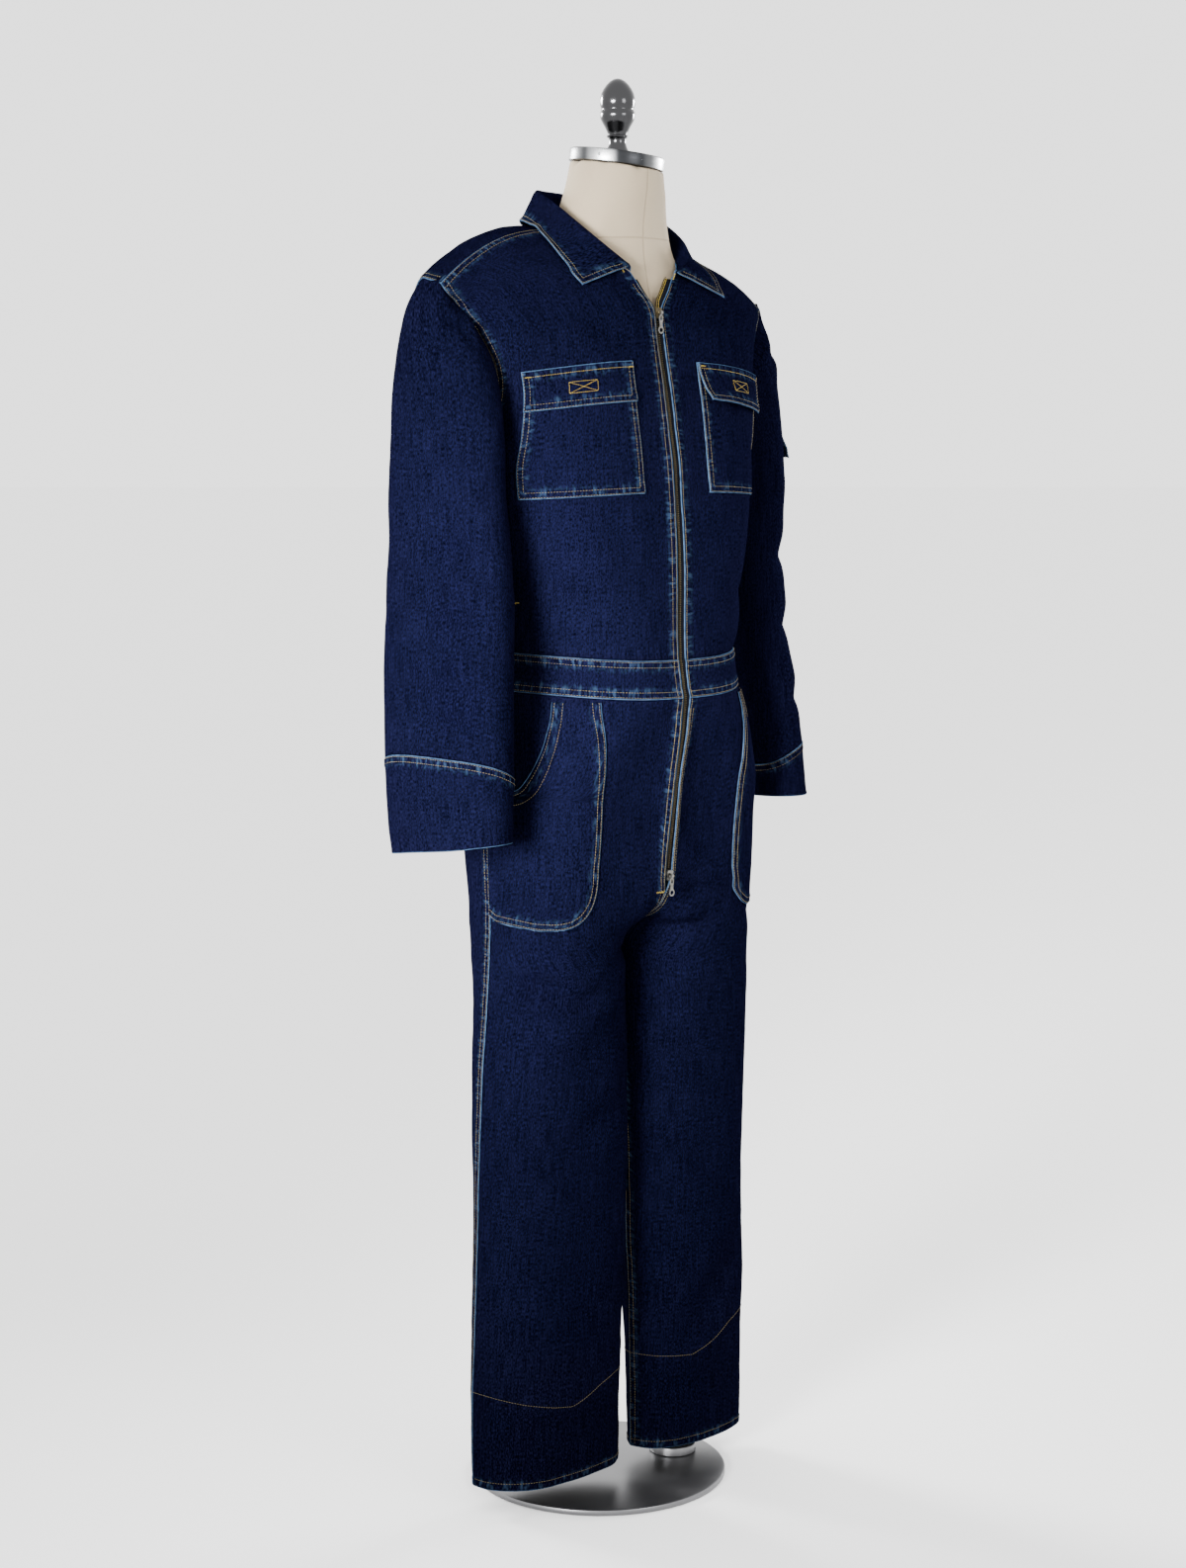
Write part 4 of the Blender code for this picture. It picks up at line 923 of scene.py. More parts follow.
indigo = denim("indigo_twill", (.00022, .00025, .0013, 1), (.0029, .0032, .0124, 1), (.034, .066, .120, 1))
reverse = denim("twill_reverse", (.004, .006, .014, 1), (.018, .024, .042, 1), (.10, .14, .22, 1))
ecru = thread("ecru_thread", (.105, .084, .040, 1), (.042, .033, .015, 1))
gold = thread("gold_thread", (.235, .170, .028, 1), (.115, .080, .013, 1))
legs, rows = {}, []
for node in ("leg_front_left", "leg_back_left", "leg_front_right", "leg_back_right"):
    side = 1 if node.endswith("left") else -1
    front = "front" in node
    felled = "right" if side > 0 else "left"    # a front's inseam and a back's outseam
    coarse = coarse_grid(node, (side * LEG_MIDDLE_X, LEG_MIDDLE_Y))
    if front:
        coarse = opened(coarse, side, FLY_LOW)
    kinds = {"low": FELL, felled: FELL}
    leg = Cloth(fine(coarse, (150, 44), **kinds), still=(0, .02, 0, 0), **kinds)
    leg.banded = np.clip((band_seam(leg.points[..., 0], side, front) - leg.points[..., 2]) / .004, 0, 1)
    hang(leg, node, LEG_WALL, flat=LEG_CUT, area=leg.area * LAPPED, rests_on=["form_cover"])
    legs[node] = leg
    rows += [leg.inset(felled, gap, .004, .012) for gap in LEG_ROWS]
    rows.append(leg.inset("low", HEM_ROW, .002, .002))
    rows.append(trace(leg, lambda x: band_seam(x, side, front)))
sew("leg_sewing", rows, ecru)


# ---- Hip pockets -------------------------------------------------------------------------------
# A large patch on each leg front from the waist seam to the outseam, with a curved opening, one
# square and one rounded edge, and two rows of stitching all round.
HANDS = ((-1, "right"), (1, "left"))    # the sign of x on each of the wearer's sides
# Outlines in (x outward, z): the foot toward the fly, the foot toward the outseam, and the mouth
POCKET_INNER = ((.1610, .7289), (.1520, .7292), (.1370, .7330), (.1240, .7420), (.1140, .7580),
                (.1090, .7780), (.1080, .8000), (.1080, .9000), (.1080, .9995))
POCKET_OUTER = ((.1610, .7289), (.1700, .7292), (.1850, .7330), (.2100, .7440), (.2300, .7540))
POCKET_MOUTH = ((.2300, .8740), (.2100, .8765), (.1860, .8800), (.1790, .8900), (.1720, .9080),
                (.1640, .9320), (.1560, .9600), (.1490, .9850), (.1470, .9995))
POCKET_MIDDLE = (.145, .83)
POCKET_LEVELS = (.7291, .7294, .7300, .7309, .7322, .7338, .7358, .7379, .7382, .7405, .7435, .7475, .7520,
                 .7570, .7625, .7690, *np.linspace(.775, .870, 18), *np.linspace(.8735, .9992, 26))
POCKET_OFF, POCKET_SEWING_OFF = .0021, .0030     # how far the patch and its stitches lie off the leg
POCKET_WALL, POCKET_TALL = .0012, .272
PAST_OUTSEAM = .25


def drawn_out(corners, step=.0015):
    """A smooth line in (x, z) through corners, in even steps."""
    line = np.array([(x, z, 0) for x, z in corners])
    return along(line, np.linspace(0, length(line), int(length(line) / step)))[:, :2]


def leg_slice(leg, side, z):
    """A level line round a leg front from the outseam inward, with how far and how far out it runs."""
    table = np.concatenate((leg.points, leg.normals), axis=2)
    if side > 0:
        table = table[:, ::-1]
    line = np.array([at([z], column[:, 2], column)[0] for column in table.transpose(1, 0, 2)])
    far = walked(line[:, :3])
    out = side * line[:, 0]
    turn = int(out.argmax())
    out[:turn] = out[turn] + far[turn] - far[:turn]
    return line, far, out


def on_leg(leg, side, places, lift):
    """Points and normals over a leg at (x outward, z), lifted off it."""
    found = []
    for x, z in places:
        line, _, outward = leg_slice(leg, side, z)
        if x < outward[0] - .001:
            found.append(at([-x], -outward, line)[0])
    found = np.array(found)
    return found[:, :3] + found[:, 3:] * lift, found[:, 3:]


pocket_inner, pocket_outer = drawn_out(POCKET_INNER), drawn_out(POCKET_OUTER)
pocket_mouth = drawn_out(POCKET_MOUTH)
pocket_foot = np.concatenate((pocket_outer[:0:-1], pocket_inner))
outlines = (pocket_foot, pocket_mouth)
for side, word in HANDS:
    leg = legs["leg_front_" + word]
    grid = []
    for z in POCKET_LEVELS:
        inner = np.interp(z, pocket_inner[:, 1], pocket_inner[:, 0])
        outer = PAST_OUTSEAM
        if z < POCKET_OUTER[-1][1]:
            outer = np.interp(z, pocket_outer[:, 1], pocket_outer[:, 0])
        elif z > POCKET_MOUTH[0][1]:
            outer = np.interp(z, pocket_mouth[:, 1], pocket_mouth[:, 0])
        line, far, outward = leg_slice(leg, side, z)
        start, end = np.interp([-outer, -inner], -outward, far)
        start = max(start, .0012)
        if end - start > .04:
            places = start + spread(np.array([[start, 0, 0], [end, 0, 0]]), 24, FELL, FELL)
        else:
            places = np.linspace(start, end, 36)
        grid.append(at(places, far, line))
    grid = np.array(grid)[:, ::-side]
    points = grid[..., :3] + grid[..., 3:] * POCKET_OFF
    rim_line = np.concatenate([on_leg(leg, side, outline, POCKET_OFF)[0] for outline in outlines])
    rim = np.linalg.norm(points.reshape(-1, 1, 3) - rim_line, axis=2).min(axis=1).reshape(points.shape[:2])
    pocket = Cloth(points, low=FELL, creased=False, rim=rim)
    hang(pocket, "hip_pocket_" + word, POCKET_WALL, flat=(pocket.size[0], POCKET_TALL), area=pocket.area * .98,
         rests_on=["cloth_leg_front_" + word])
    rows = []
    for outline in outlines:
        run = np.gradient(outline, axis=0)
        inward = np.column_stack((-run[:, 1], run[:, 0])) / np.linalg.norm(run, axis=1)[:, None]
        half = len(outline) // 2
        if (np.array(POCKET_MIDDLE) - outline[half]) @ inward[half] < 0:
            inward = -inward
        for gap in (.0021, .0080):
            rows.append(on_leg(leg, side, outline + inward * gap, POCKET_SEWING_OFF))
    sew("hip_pocket_sewing_" + word, rows, ecru)


# ---- Waistband ---------------------------------------------------------------------------------
# A straight band in three pieces between bodice and trousers, both its seams felled into it and
# sewn twice.
BODY_MIDDLE = (0, -.01)
BAND_WALL, BAND_TALL = .0014, .046

rows, bands = [], {}
for node, side in (("waistband_front_right", -1), ("waistband_front_left", 1), ("waistband_back", 0)):
    coarse = coarse_grid(node, BODY_MIDDLE)
    kinds = {"low": FELL, "high": FELL}
    if side:
        coarse = opened(coarse, side, .7)
        kinds["left" if side < 0 else "right"] = FOLD
    band = Cloth(fine(coarse, (3, 40 if side else 84), **kinds), still=(.006, .006, 0, 0), **kinds)
    hang(band, node, BAND_WALL, flat=(band.size[0], BAND_TALL), rests_on=["form_cover"],
         worn={"left": 2} if side < 0 else {})
    bands[side] = band
    rows += [band.inset(end, gap, .002, .002) for end in ("low", "high") for gap in (.0023, .0086)]
sew("waistband_sewing", rows, ecru)


# ---- Bodice ------------------------------------------------------------------------------------
# Two fronts, their edges folded back beside the zip, and a back cut in one; felled at the sides,
# the armholes and the shoulders.
BODICE_WALL = .0013
FRONT_CUT, BACK_CUT = (.30, .54), (.62, .56)
BODICE_ROWS = (.0023, .0085)
NECK_ROW = 64                       # rows of a bodice piece up to the foot of its neckline
FRONT_SPLIT, BACK_SPLIT = 13, 11    # the same row of its coarse grid


def bodice_grid(coarse, kinds, centre, split, beyond=None):
    """A fine grid whose centre edge turns into the neckline at a row of its own."""
    inward = 1 if centre == 0 else -1
    if beyond is not None:
        top = coarse[split + 1:, centre] * 2 - coarse[split + 1:, centre + inward]
        guide = np.concatenate((beyond[:split + 1], top))[:, None]
        coarse = np.concatenate((guide, coarse)[::inward], axis=1)
    edge = centre % coarse.shape[1]
    turning = (edge,) if beyond is None else (edge, edge + inward)
    lines = []
    for k, line in enumerate(coarse.transpose(1, 0, 2)):
        far = walked(line)
        high = far[-1] - np.array(kinds.get("high", RAW)[::-1])
        low = np.linspace(0, far[split], NECK_ROW)
        rest = np.concatenate((np.linspace(far[split], high[0], 16)[1:], high[1:]))
        if k in turning:
            lines.append(np.concatenate((along(line[:split + 1], low), along(line[split:], rest - far[split]))))
        else:
            lines.append(along(line, np.concatenate((low, rest))))
    grid = []
    for row in np.stack(lines, axis=1):
        if beyond is None:
            places = spread(row, 40, kinds.get("right", RAW), kinds.get("left", RAW))
        elif centre == 0:
            places = spread(row[1:], 38, (0,), kinds["left"])
            places = np.concatenate(((-places[1],), places)) + np.linalg.norm(row[1] - row[0])
        else:
            places = spread(row[:-1], 38, kinds["right"], (0,))
            places = np.concatenate((places, (2 * places[-1] - places[-2],)))
        grid.append(along(row, places))
    return np.array(grid)


halves = {side: coarse_grid("back", BODY_MIDDLE, half=side) for side in (1, -1)}
rows, bodice, necks = [], {}, {}
for node in ("front_right", "front_left", "back_left", "back_right"):
    side = -1 if node.endswith("right") else 1
    if node.startswith("front"):
        centre, split, beyond = (0 if side > 0 else -1), FRONT_SPLIT, None
        coarse = opened(coarse_grid(node, BODY_MIDDLE), side, .9)
        kinds = {"high": FELL, "right": FELL, "left": FELL}
    else:
        centre, split, beyond = (-1 if side > 0 else 0), BACK_SPLIT, halves[-side][:, 1 if side > 0 else -2]
        coarse = halves[side]
        kinds = {"right" if side > 0 else "left": FELL}
    necks[node] = coarse[split:, centre]
    bodice[node] = Cloth(bodice_grid(coarse, kinds, centre, split, beyond), still=(.012, .02, 0, 0), **kinds)
    if beyond is not None:
        bodice[node].trim(centre)
for side, word in HANDS:
    panel = bodice["front_" + word]
    hang(panel, "front_" + word, BODICE_WALL, flat=FRONT_CUT, area=panel.area * LAPPED, rests_on=["form_cover"],
         worn={"left": 2} if side < 0 else {}, grain=-9 if side < 0 else 8)
    rows += [panel.inset("high", gap, .004, .004) for gap in BODICE_ROWS]

parts = [bodice["back_" + word].make("cloth_back_" + word, BODICE_WALL, (indigo, reverse),
                                     grain=-1 if word == "left" else 0, open_below={word: NECK_ROW - 1})
         for word in ("left", "right")]
bpy.ops.object.select_all(action="DESELECT")
for part in parts:
    part.select_set(True)
back = parts[0]
bpy.context.view_layer.objects.active = back
bpy.ops.object.join()
back.name = "cloth_back"
joined = bmesh.new()
joined.from_mesh(back.data)
spine = [v for v in joined.verts if abs(v.co.x) < .0015]
bmesh.ops.remove_doubles(joined, verts=spine, dist=.0004)
joined.to_mesh(back.data)
joined.free()
hand_over(back, "denim", "back")
(bodice["back_left"].area + bodice["back_right"].area) * LAPPED
for node, edge in (("front_right", "right"), ("front_left", "left"),
                   ("back_left", "right"), ("back_right", "left")):
    rows += [bodice[node].inset(edge, gap, .002, .006) for gap in BODICE_ROWS]
sew("bodice_sewing", rows, ecru)


# ---- Front edges -------------------------------------------------------------------------------
# The folded edges beside the zip are sewn down over its tapes: two rows on the right and one on
# the left.
FRONT_ROWS = {-1: (.0026, .0084), 1: (.0036,)}

rows = []
for side, word in HANDS:
    for piece, low, high in ((bodice["front_" + word], .9, 1.490), (bands[side], .9, 1.2),
                             (legs["leg_front_" + word], .772, 1.2)):
        for gap in FRONT_ROWS[side]:
            line, way = piece.inset("left" if side < 0 else "right", gap)
            keep = (line[:, 2] > low) & (line[:, 2] < high)
            rows.append((line[keep] + way[keep] * SEWING_OFF, way[keep]))
sew("front_edge_sewing", rows, ecru, pitch=.0028)


# ---- Collar ------------------------------------------------------------------------------------
# One turned-down collar: a short stand up from the neckline, the roll, and a fall with long points
# lying over the shoulders; double cloth turned at its edges and sewn twice round them.
COLLAR_WALL, COLLAR_CUT = .0022, (.47, .105)
COLLAR = (
    # top of the roll (x, y, z), free edge (x, y, z), from the front round to the centre back
    ((.0360, -.0965, 1.5085), (.1120, -.1010, 1.4800)),
    ((.0580, -.0925, 1.5215), (.1190, -.0780, 1.5010)),
    ((.0810, -.0660, 1.5480), (.1180, -.0380, 1.5260)),
    ((.0870, -.0190, 1.5780), (.1110, .0000, 1.5460)),
    ((.0720, .0320, 1.5970), (.0890, .0450, 1.5570)),
    ((.0390, .0580, 1.6010), (.0500, .0750, 1.5580)),
    ((.0000, .0660, 1.6020), (.0000, .0870, 1.5590)),
)
COLLAR_ENDS = np.array((0, .012, .04, .13))     # close stations at each front end, in table rows
COLLAR_CLEAR = .0056                # least height of the fall over the bodice
ROLL = .0030


def leaned(points):
    """The shoulders are lower on the wearer's left."""
    points = points.copy()
    points[:, 2] -= .060 * points[:, 0] * np.clip((points[:, 2] - 1.40) / .13, 0, 1)
    sag = np.clip((points[:, 2] - 1.49) / .05, 0, 1) * np.sin(np.pi * np.clip(points[:, 0] / .26, 0, 1))
    points[:, 2] -= .008 * sag
    return points


def over(cloth):
    """A search tree over a piece's outer side."""
    rows, columns = cloth.points.shape[:2]
    index = np.arange(rows * columns).reshape(rows, columns)
    return BVHTree.FromPolygons(cloth.points.reshape(-1, 3).tolist(), quads(index).tolist())


collar_halves = []
for side, word in HANDS:
    neck = np.concatenate((necks["front_" + word], necks["back_" + word][2::-1]))
    table = np.array(COLLAR) * (side, 1, 1)
    collar_halves.append((neck, leaned(table[:, 0]), leaned(table[:, 1])))
knots = np.concatenate((COLLAR_ENDS, np.linspace(0, 12, 113)[2:-2], 12 - COLLAR_ENDS[::-1]))
stations = []
for right, left in zip(*collar_halves):
    line = np.concatenate((right, left[-2::-1]))
    stations.append(along(line, np.interp(knots, np.arange(13), walked(line))))
bodice_trees = [over(panel) for panel in bodice.values()]
sections = []
for neck, roll, rim in zip(*stations):
    start = neck + (0, 0, .0009)
    out = (rim - start) * (1, 1, 0)
    out /= np.linalg.norm(out)
    fold = min(ROLL, (roll[2] - start[2]) * .35)
    near = roll - out * fold * .9 - (0, 0, fold)
    far = roll + out * fold * .9 - (0, 0, fold * .8)
    points = [start, (start + near) / 2, near, roll, far]
    points += [far + (rim - far) * share for share in (.25, .5, .75, 1)]
    for point in points[4:]:
        hits = [tree.ray_cast((point[0], point[1], 1.70), (0, 0, -1))[0] for tree in bodice_trees]
        hits = [hit[2] for hit in hits if hit is not None]
        if hits:
            point[2] = max(point[2], max(hits) + COLLAR_CLEAR)
    points = np.array(points)
    far = walked(points)
    places = np.concatenate((np.linspace(0, far[2], 5)[:-1], np.linspace(far[2], far[4], 7)[:-1],
                             np.linspace(far[4], far[-1] - FOLD[-1], 16)[:-1], far[-1] - np.array(FOLD[::-1])))
    sections.append(along(points, places))
collar = Cloth(np.array(sections).transpose(1, 0, 2), high=FOLD, right=FOLD, left=FOLD, creased=False)
hang(collar, "collar", COLLAR_WALL, flat=COLLAR_CUT, area=collar.area * LAPPED, held="folded",
     rests_on=["cloth_front_right", "cloth_front_left", "cloth_back"], shades=(indigo, indigo))
rows = []
for gap in (.0020, .0080):
    rows.append(collar.inset("high", gap, gap, gap))
    for edge in ("right", "left"):
        line, way = collar.inset(edge, gap)
        keep = slice(6, -max(1, int(gap / .0025)))
        rows.append((line[keep], way[keep]))
sew("collar_sewing", rows, ecru)


# ---- Chest pockets -----------------------------------------------------------------------------
# Square patches sewn on three sides, under flaps sewn along the top; a boxed cross holds each
# flap's hidden fastening.
PATCH = {"low": FELL, "right": FELL, "left": FELL}
CHEST_FLAP_WALL = .0013
FLAP_BOX = (.018, .0065)            # half width and half height of the boxed cross
TACK = (.008, .0007)                # length and half width of a bar of stitches


def sewn_round(piece, near=.0020):
    """Two rows of stitches along each folded side of a patch."""
    rows = []
    for side in PATCH:
        rows += [piece.inset(side, near, .002, .002), piece.inset(side, .0078, .008, .008)]
    return rows


def bartack(piece, across, up):
    """A short dense bar of stitches."""
    long, wide = TACK
    return piece.drawn([(across + (-long / 2 + long * k / 8), up + wide * (1 if k % 2 else -1))
                        for k in range(9)])


rows, gold_rows, end_tacks = [], [], []
for side, word in HANDS:
    coarse = coarse_grid("chest_pocket_" + word, BODY_MIDDLE)
    pocket = Cloth(fine(coarse, (26, 22), **PATCH), **PATCH)
    hang(pocket, "chest_pocket_" + word, POCKET_WALL, flat=pocket.size, rests_on=["cloth_front_" + word])
    rows += sewn_round(pocket)
    coarse = coarse_grid("chest_flap_" + word, BODY_MIDDLE)
    flap = Cloth(fine(coarse, (7, 24), high=FOLD, **PATCH), high=FOLD, **PATCH)
    hang(flap, "chest_flap_" + word, CHEST_FLAP_WALL, flat=flap.size, rests_on=["cloth_front_" + word])
    rows += sewn_round(flap, .0018)
    gold_rows.append(flap.inset("high", .0078, .004, .004))
    wide, tall = flap.size
    end_tacks += [bartack(flap, across, tall - .0078) for across in (.0075, wide - .0075)]
    middle, level = wide / 2, tall * .47
    box = [(middle + x * FLAP_BOX[0], level + y * FLAP_BOX[1]) for x, y in ((-1, -1), (1, -1), (1, 1), (-1, 1))]
    gold_rows.append(flap.drawn(box + [box[0], box[2]]))
    gold_rows.append(flap.drawn([box[1], box[3]]))
sew("chest_pocket_sewing", rows, ecru)
sew("chest_flap_sewing", gold_rows, gold, pitch=.0026, thick=.00031)
sew("chest_flap_tacks", end_tacks, gold, pitch=.0012, thick=.00050)


# ---- Sleeves -----------------------------------------------------------------------------------
# One-piece sleeves, each a tube set under the armhole's felled edge and closed by one seam on the
# inner arm; the cuff's seam rises towards the outside of the arm.
SLEEVE_WALL, SLEEVE_CUT = .0013, (.56, .72)
CUFF_RISE = .021
CUFF_RAISED = {-1: .0105, 1: -.004}
CUFF_LAP = .0004                    # between the cuff's top edge and the sleeve's foot
TUCK = ((.0016, .0020), (.0030, .0075))     # rows under the armhole: how far in and how far up


def parted(side, word):
    """The sleeve and its cuff as coarse grids, cut apart along the sloping seam."""
    cuff = coarse_grid("cuff_" + word, (side * .255, -.02), ring=True)
    sleeve = coarse_grid("sleeve_" + word, (side * .25, -.01), ring=True)
    outward = side * (cuff[-1, :, 0] - cuff[-1, :-1, 0].mean())
    shift = CUFF_RAISED[side] + CUFF_RISE * outward / outward.max()
    found = ([], [])
    for k in range(cuff.shape[1]):
        line = np.concatenate((cuff[:-1, k], sleeve[:, k]))
        seam = length(cuff[:, k]) + shift[k]
        found[0].append(along(line, np.linspace(0, seam, 6)))
        found[1].append(along(line, np.linspace(seam + CUFF_LAP, length(line), len(sleeve) + 6)))
    return [np.stack(lines, axis=1) for lines in found]


sleeves, cuffs = {}, {}
for side, word in HANDS:
    cuffs[side], coarse = parted(side, word)
    points = fine(coarse, (92, 80), ring=True)
    out = grid_normals(points, True)[-1]
    rise = unit(points[-1] - points[-2])
    tuck = [points[-1] - out * inside + rise * above for inside, above in TUCK]
    points[-1] -= out * .0007
    sleeve = Cloth(np.concatenate((points, np.array(tuck))), ring=True, still=(0, .03, 0, 0))
    hang(sleeve, "sleeve_" + word, SLEEVE_WALL, flat=SLEEVE_CUT, area=sleeve.area * LAPPED,
         rests_on=["cloth_front_" + word, "cloth_back"])
    sleeves[side] = sleeve


# ---- Cuffs -------------------------------------------------------------------------------------
# A plain deep band at each wrist, its lower edge folded and its top edge lapped over the sleeve
# and sewn twice.
CUFF_WALL = .0015

rows = []
for side, word in HANDS:
    kinds = {"low": FOLD, "high": FELL, "ring": True}
    cuff = Cloth(fine(cuffs[side], (16, 80), **kinds), **kinds)
    hang(cuff, "cuff_" + word, CUFF_WALL, flat=cuff.size, area=cuff.area * LAPPED,
         rests_on=["cloth_sleeve_" + word], smooth=("low",))
    rows += [cuff.inset("high", gap) for gap in (.0022, .0084)]
sew("cuff_sewing", rows, ecru)


# ---- Sleeve pocket -----------------------------------------------------------------------------
# A small flapped patch on the outside of the left upper arm, laid on the sleeve; the flap's free
# edge stands off it.
ARM_MIDDLE = (.20, .0)
ARM_OFF, ARM_FLAP_OFF = .0018, .0105


def laid_on(cloth, points, lift):
    """The points set at a height above a piece, from row to row."""
    tree = over(cloth)
    placed = points.copy()
    for row, height in enumerate(lift):
        for k, point in enumerate(points[row].tolist()):
            found, out, _, _ = tree.find_nearest(Vector(point))
            placed[row, k] = found + out * height
    return placed


rows = []
for node, count, off, worn in (("arm_pocket", 22, 0, {}), ("arm_flap", 6, ARM_FLAP_OFF, {"high": 1})):
    points = fine(coarse_grid(node, ARM_MIDDLE), (count, 18), **PATCH)
    lift = ARM_OFF + off * np.linspace(1, 0, len(points)) ** 1.3
    patch = Cloth(laid_on(sleeves[1], points, lift), creased=False, **PATCH)
    hang(patch, node, POCKET_WALL, flat=patch.size, rests_on=["cloth_sleeve_left"], worn=worn)
    rows += sewn_round(patch)
sew("arm_pocket_sewing", rows, ecru)


# ---- Zip ---------------------------------------------------------------------------------------
# A two-way metal zip: dark woven tapes behind the folded edges, one brass-coloured tooth row on
# each, bound with yellow where it stands open at the neck; its two sliders run on the rows.
TAPE_WALL, TAPE_SHOWS = .0006, .0125
TOOTH_PITCH = .0027
TOOTH_MIDDLE, TOOTH = (.00045, 0, .00075), (.0023, .0013, .0011)
TOOTH_NOSE, TOOTH_BEVEL = (1, .62, .7), .00022
OPEN_FROM, OPEN_OVER = 1.4575, .016             # the rows part above this height
OPEN_BY = {-1: .0016, 1: .0055}
ZIP_FOOT = .776
SLIDERS_AT = ((.7815, .7905), (1.4455, 1.4605))    # no teeth show under the sliders
BOUND_FROM = 1.452

tape_shade = Shade("zip_tape_weave", Roughness=0.9, Specular_IOR_Level=0.03)
ribs = tape_shade.ribs(tape_shade.place(), "Z", 420.0, 1.0)
tape_shade.feed(Base_Color=tape_shade.mix(ribs, (.0008, .0009, .0016, 1), (.0034, .0037, .0056, 1)),
                Normal=tape_shade.bump(ribs, .0004, .6))
brass = Shade("brass", Metallic=0.85, Specular_IOR_Level=0.5)
tarnish = brass.cloud(brass.place(), 400.0, 3.0, 0.6)
brass.feed(Base_Color=brass.mix(tarnish, (.012, .009, .004, 1), (.085, .064, .030, 1)),
           Roughness=0.30 + tarnish * 0.25)
nickel = Shade("nickel", Metallic=1.0)
wear = nickel.cloud(nickel.place(), 260.0, 3.0, 0.6)
nickel.feed(Base_Color=nickel.mix(wear, (.07, .068, .062, 1), (.24, .235, .22, 1)),
            Roughness=0.16 + wear * 0.22)


def zip_edge(side, word):
    """The folded edge beside the zip from foot to neck, with the cloth's inward way and normal."""
    edge, inside = (-1, -3) if side < 0 else (0, 2)
    found = []
    for piece, rows, low, high in ((legs["leg_front_" + word], None, .772, 1.2), (bands[side], None, .9, 1.2),
                                   (bodice["front_" + word], NECK_ROW, .9, 1.5)):
        line = piece.points[:rows, edge]
        table = np.concatenate((line, piece.points[:rows, inside] - line, piece.normals[:rows, inside]), axis=1)
        found.append(table[(table[:, 2] > low) & (table[:, 2] < high)])
    found = np.concatenate(found)
    found = found[np.argsort(found[:, 2], kind="stable")]
    far = walked(found[:, :3])
    found = at(np.arange(.0002, far[-1], TOOTH_PITCH), far, found)
    line, ways = found[:, :3], found[:, 3:]
    for _ in range(6):
        ways[1:-1] = (ways[:-2] + ways[2:]) / 2
    return line, unit(ways[:, :3]), unit(ways[:, 3:])


# One tooth: a stamped block across the zip, narrowed and rounded at its nose
bpy.ops.object.select_all(action="DESELECT")
bpy.ops.mesh.primitive_cube_add(size=1, location=TOOTH_MIDDLE)
tooth = bpy.context.object
tooth.scale = TOOTH
bpy.ops.object.transform_apply(location=True, rotation=False, scale=True)
bpy.ops.object.mode_set(mode="EDIT")
bpy.ops.mesh.select_mode(type="FACE")
bpy.ops.mesh.select_all(action="DESELECT")
bpy.ops.object.mode_set(mode="OBJECT")
for face in tooth.data.polygons:
    face.select = face.normal.x > .9
bpy.ops.object.mode_set(mode="EDIT")
bpy.ops.transform.resize(value=TOOTH_NOSE)
bpy.ops.mesh.select_all(action="SELECT")
bpy.ops.mesh.bevel(offset=TOOTH_BEVEL, segments=1)
bpy.ops.object.mode_set(mode="OBJECT")
tooth_points = np.array([v.co[:] for v in tooth.data.vertices])
tooth_faces = [tuple(face.vertices) for face in tooth.data.polygons]
bpy.data.objects.remove(tooth)
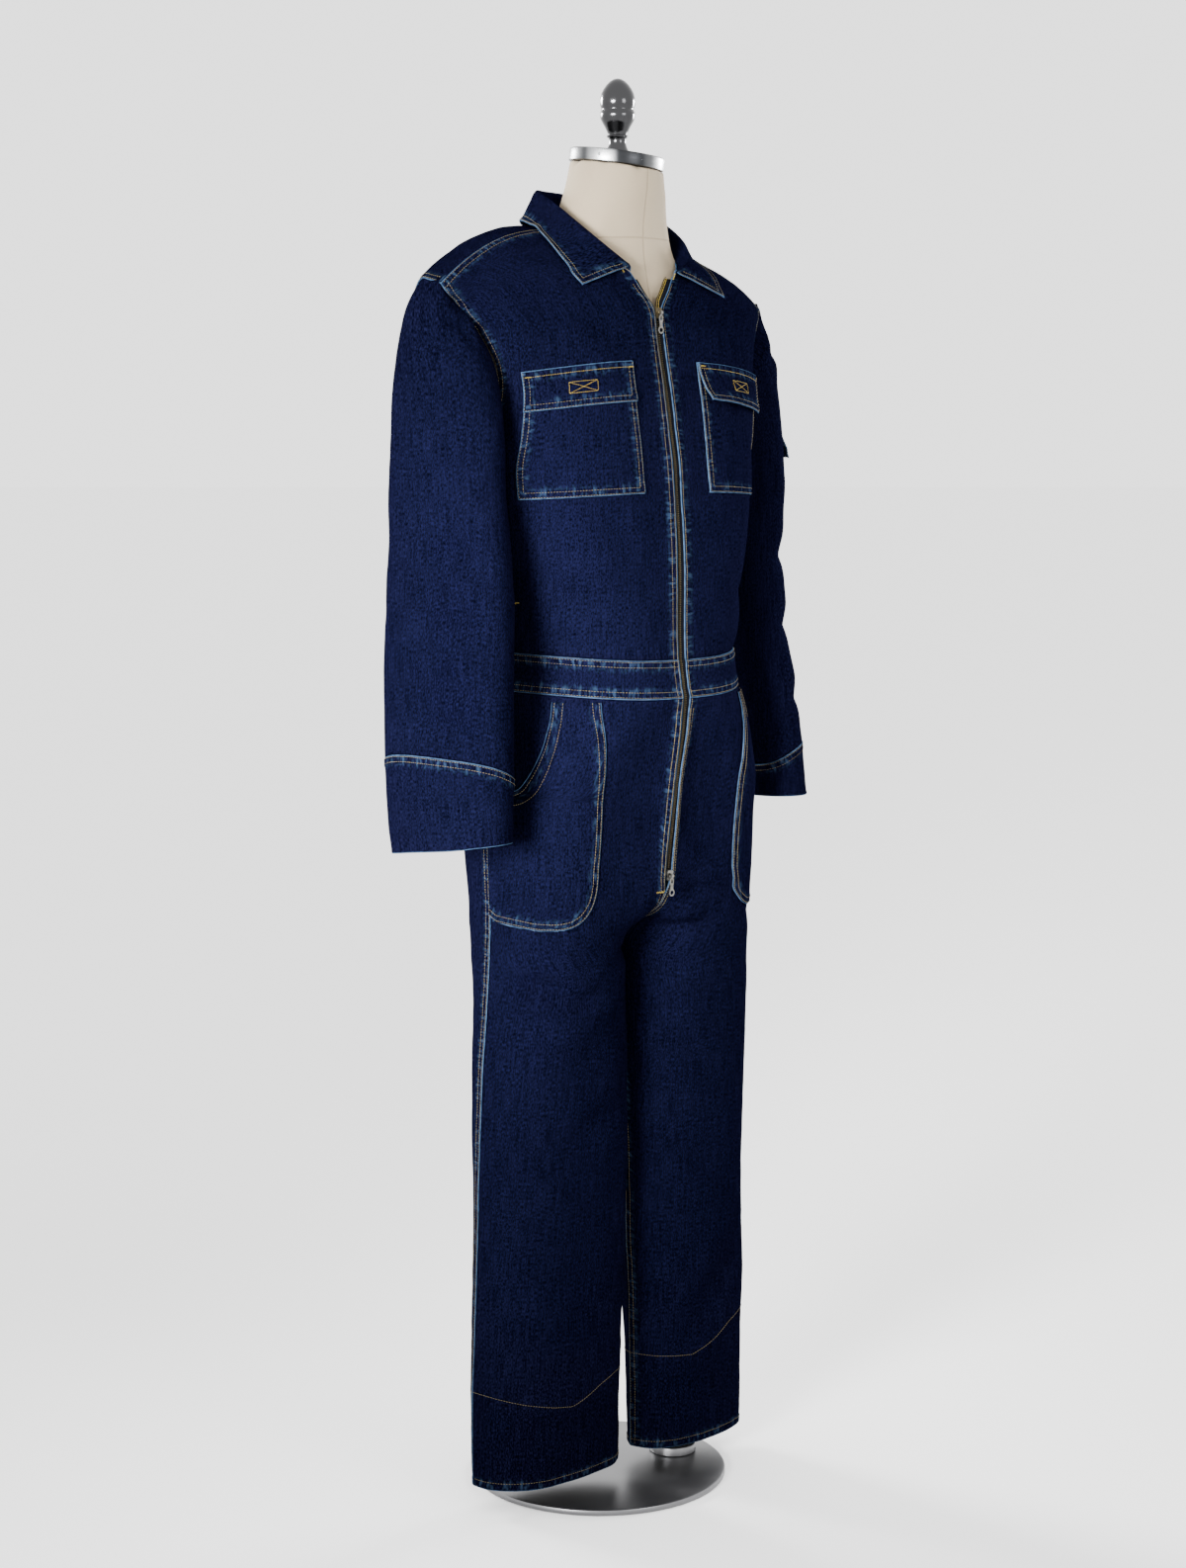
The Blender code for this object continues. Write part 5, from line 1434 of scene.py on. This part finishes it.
for side, word in HANDS:
    edge, inward, way = zip_edge(side, word)
    shut = edge[:, 2] < OPEN_FROM
    reach = np.abs(edge[:, 0]) - .0003
    reach[~shut] = reach[shut][-1] + np.clip((edge[~shut, 2] - OPEN_FROM) / OPEN_OVER, 0, 1) * OPEN_BY[side]
    flat_way = np.where(shut[:, None], way * (0, 1, 1), way)
    back = edge - flat_way * .0026
    columns = [back - inward * reach[:, None], back, back + inward * .004, back + inward * .009 - way * .0006]
    tape = Cloth(np.stack(columns[::side], axis=1), creased=False)
    made = tape.make("zip_tape_cloth_" + word, TAPE_WALL, (tape_shade,))
    hand_over(made, "zip_tape", "zip_tape_" + word)
    points, faces = [], []
    run = unit(np.gradient(edge, axis=0))
    for k in range(3, len(edge)):
        height = edge[k, 2]
        if height > ZIP_FOOT and not any(low < height < high for low, high in SLIDERS_AT):
            spot = back[k] - inward[k] * reach[k] + run[k] * (0 if side < 0 else TOOTH_PITCH / 2)
            first = len(points)
            turn = np.array((-inward[k], run[k], flat_way[k]))
            points += (spot + tooth_points @ turn + inward[k] * .0008).tolist()
            faces += [[first + m for m in face][::side] for face in tooth_faces]
    hand_over(new_piece("zip_teeth_" + word, points, faces, brass), "nickel")
upper = edge[:, 2] > BOUND_FROM     # the left row's, as it is the last one made
rows = [(back[upper] - inward[upper] * (reach[upper, None] - gap) + flat_way[upper] * .0004, way[upper])
        for gap in (.0012, .0040)]
sew("zip_binding", rows, gold, pitch=.0022, thick=.0004)
for node, shade in (("zip_slider_top", brass), ("zip_slider_bottom", nickel), ("zip_pull_top", nickel),
                    ("zip_pull_bottom", nickel)):
    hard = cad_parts[node]
    hard.data.materials.clear()
    hard.data.materials.append(shade.material)


# ---- Bartacks ----------------------------------------------------------------------------------
# Short dense bars of gold thread where the seams take strain: zip foot, zip ends at the neck and
# the right side seam above the waist.
TACKS = (
    # middle (x, y, z), the way it runs, the way it faces, length
    ((-.168, -.050, 1.115), (1, -.6, 0), (-.5, -.85, 0), .009),
    ((-.0085, -.1240, .7625), (1, 0, 0), (0, -1, 0), .013),
    ((.0335, -.0975, 1.4985), (.4, 0, .9), (.3, -.9, .3), .008),
    ((-.0425, -.0935, 1.5020), (.5, 0, -.8), (-.3, -.9, .3), .006),
)


def tack(middle, run, out, long, wide=.0011):
    """A bar of close zigzag stitches about a point."""
    run, out = unit(np.array(run, float)), unit(np.array(out, float))
    side = np.cross(run, out)
    line = np.array([middle + run * long * (k / 10 - .5) + side * wide * (1 if k % 2 else -1)
                     for k in range(11)])
    line = at(np.arange(21) / 2, np.arange(11), line)
    return line, np.repeat([out], 21, axis=0)


sew("bartacks", [tack(*row) for row in TACKS], gold, pitch=.0012, thick=.0004)
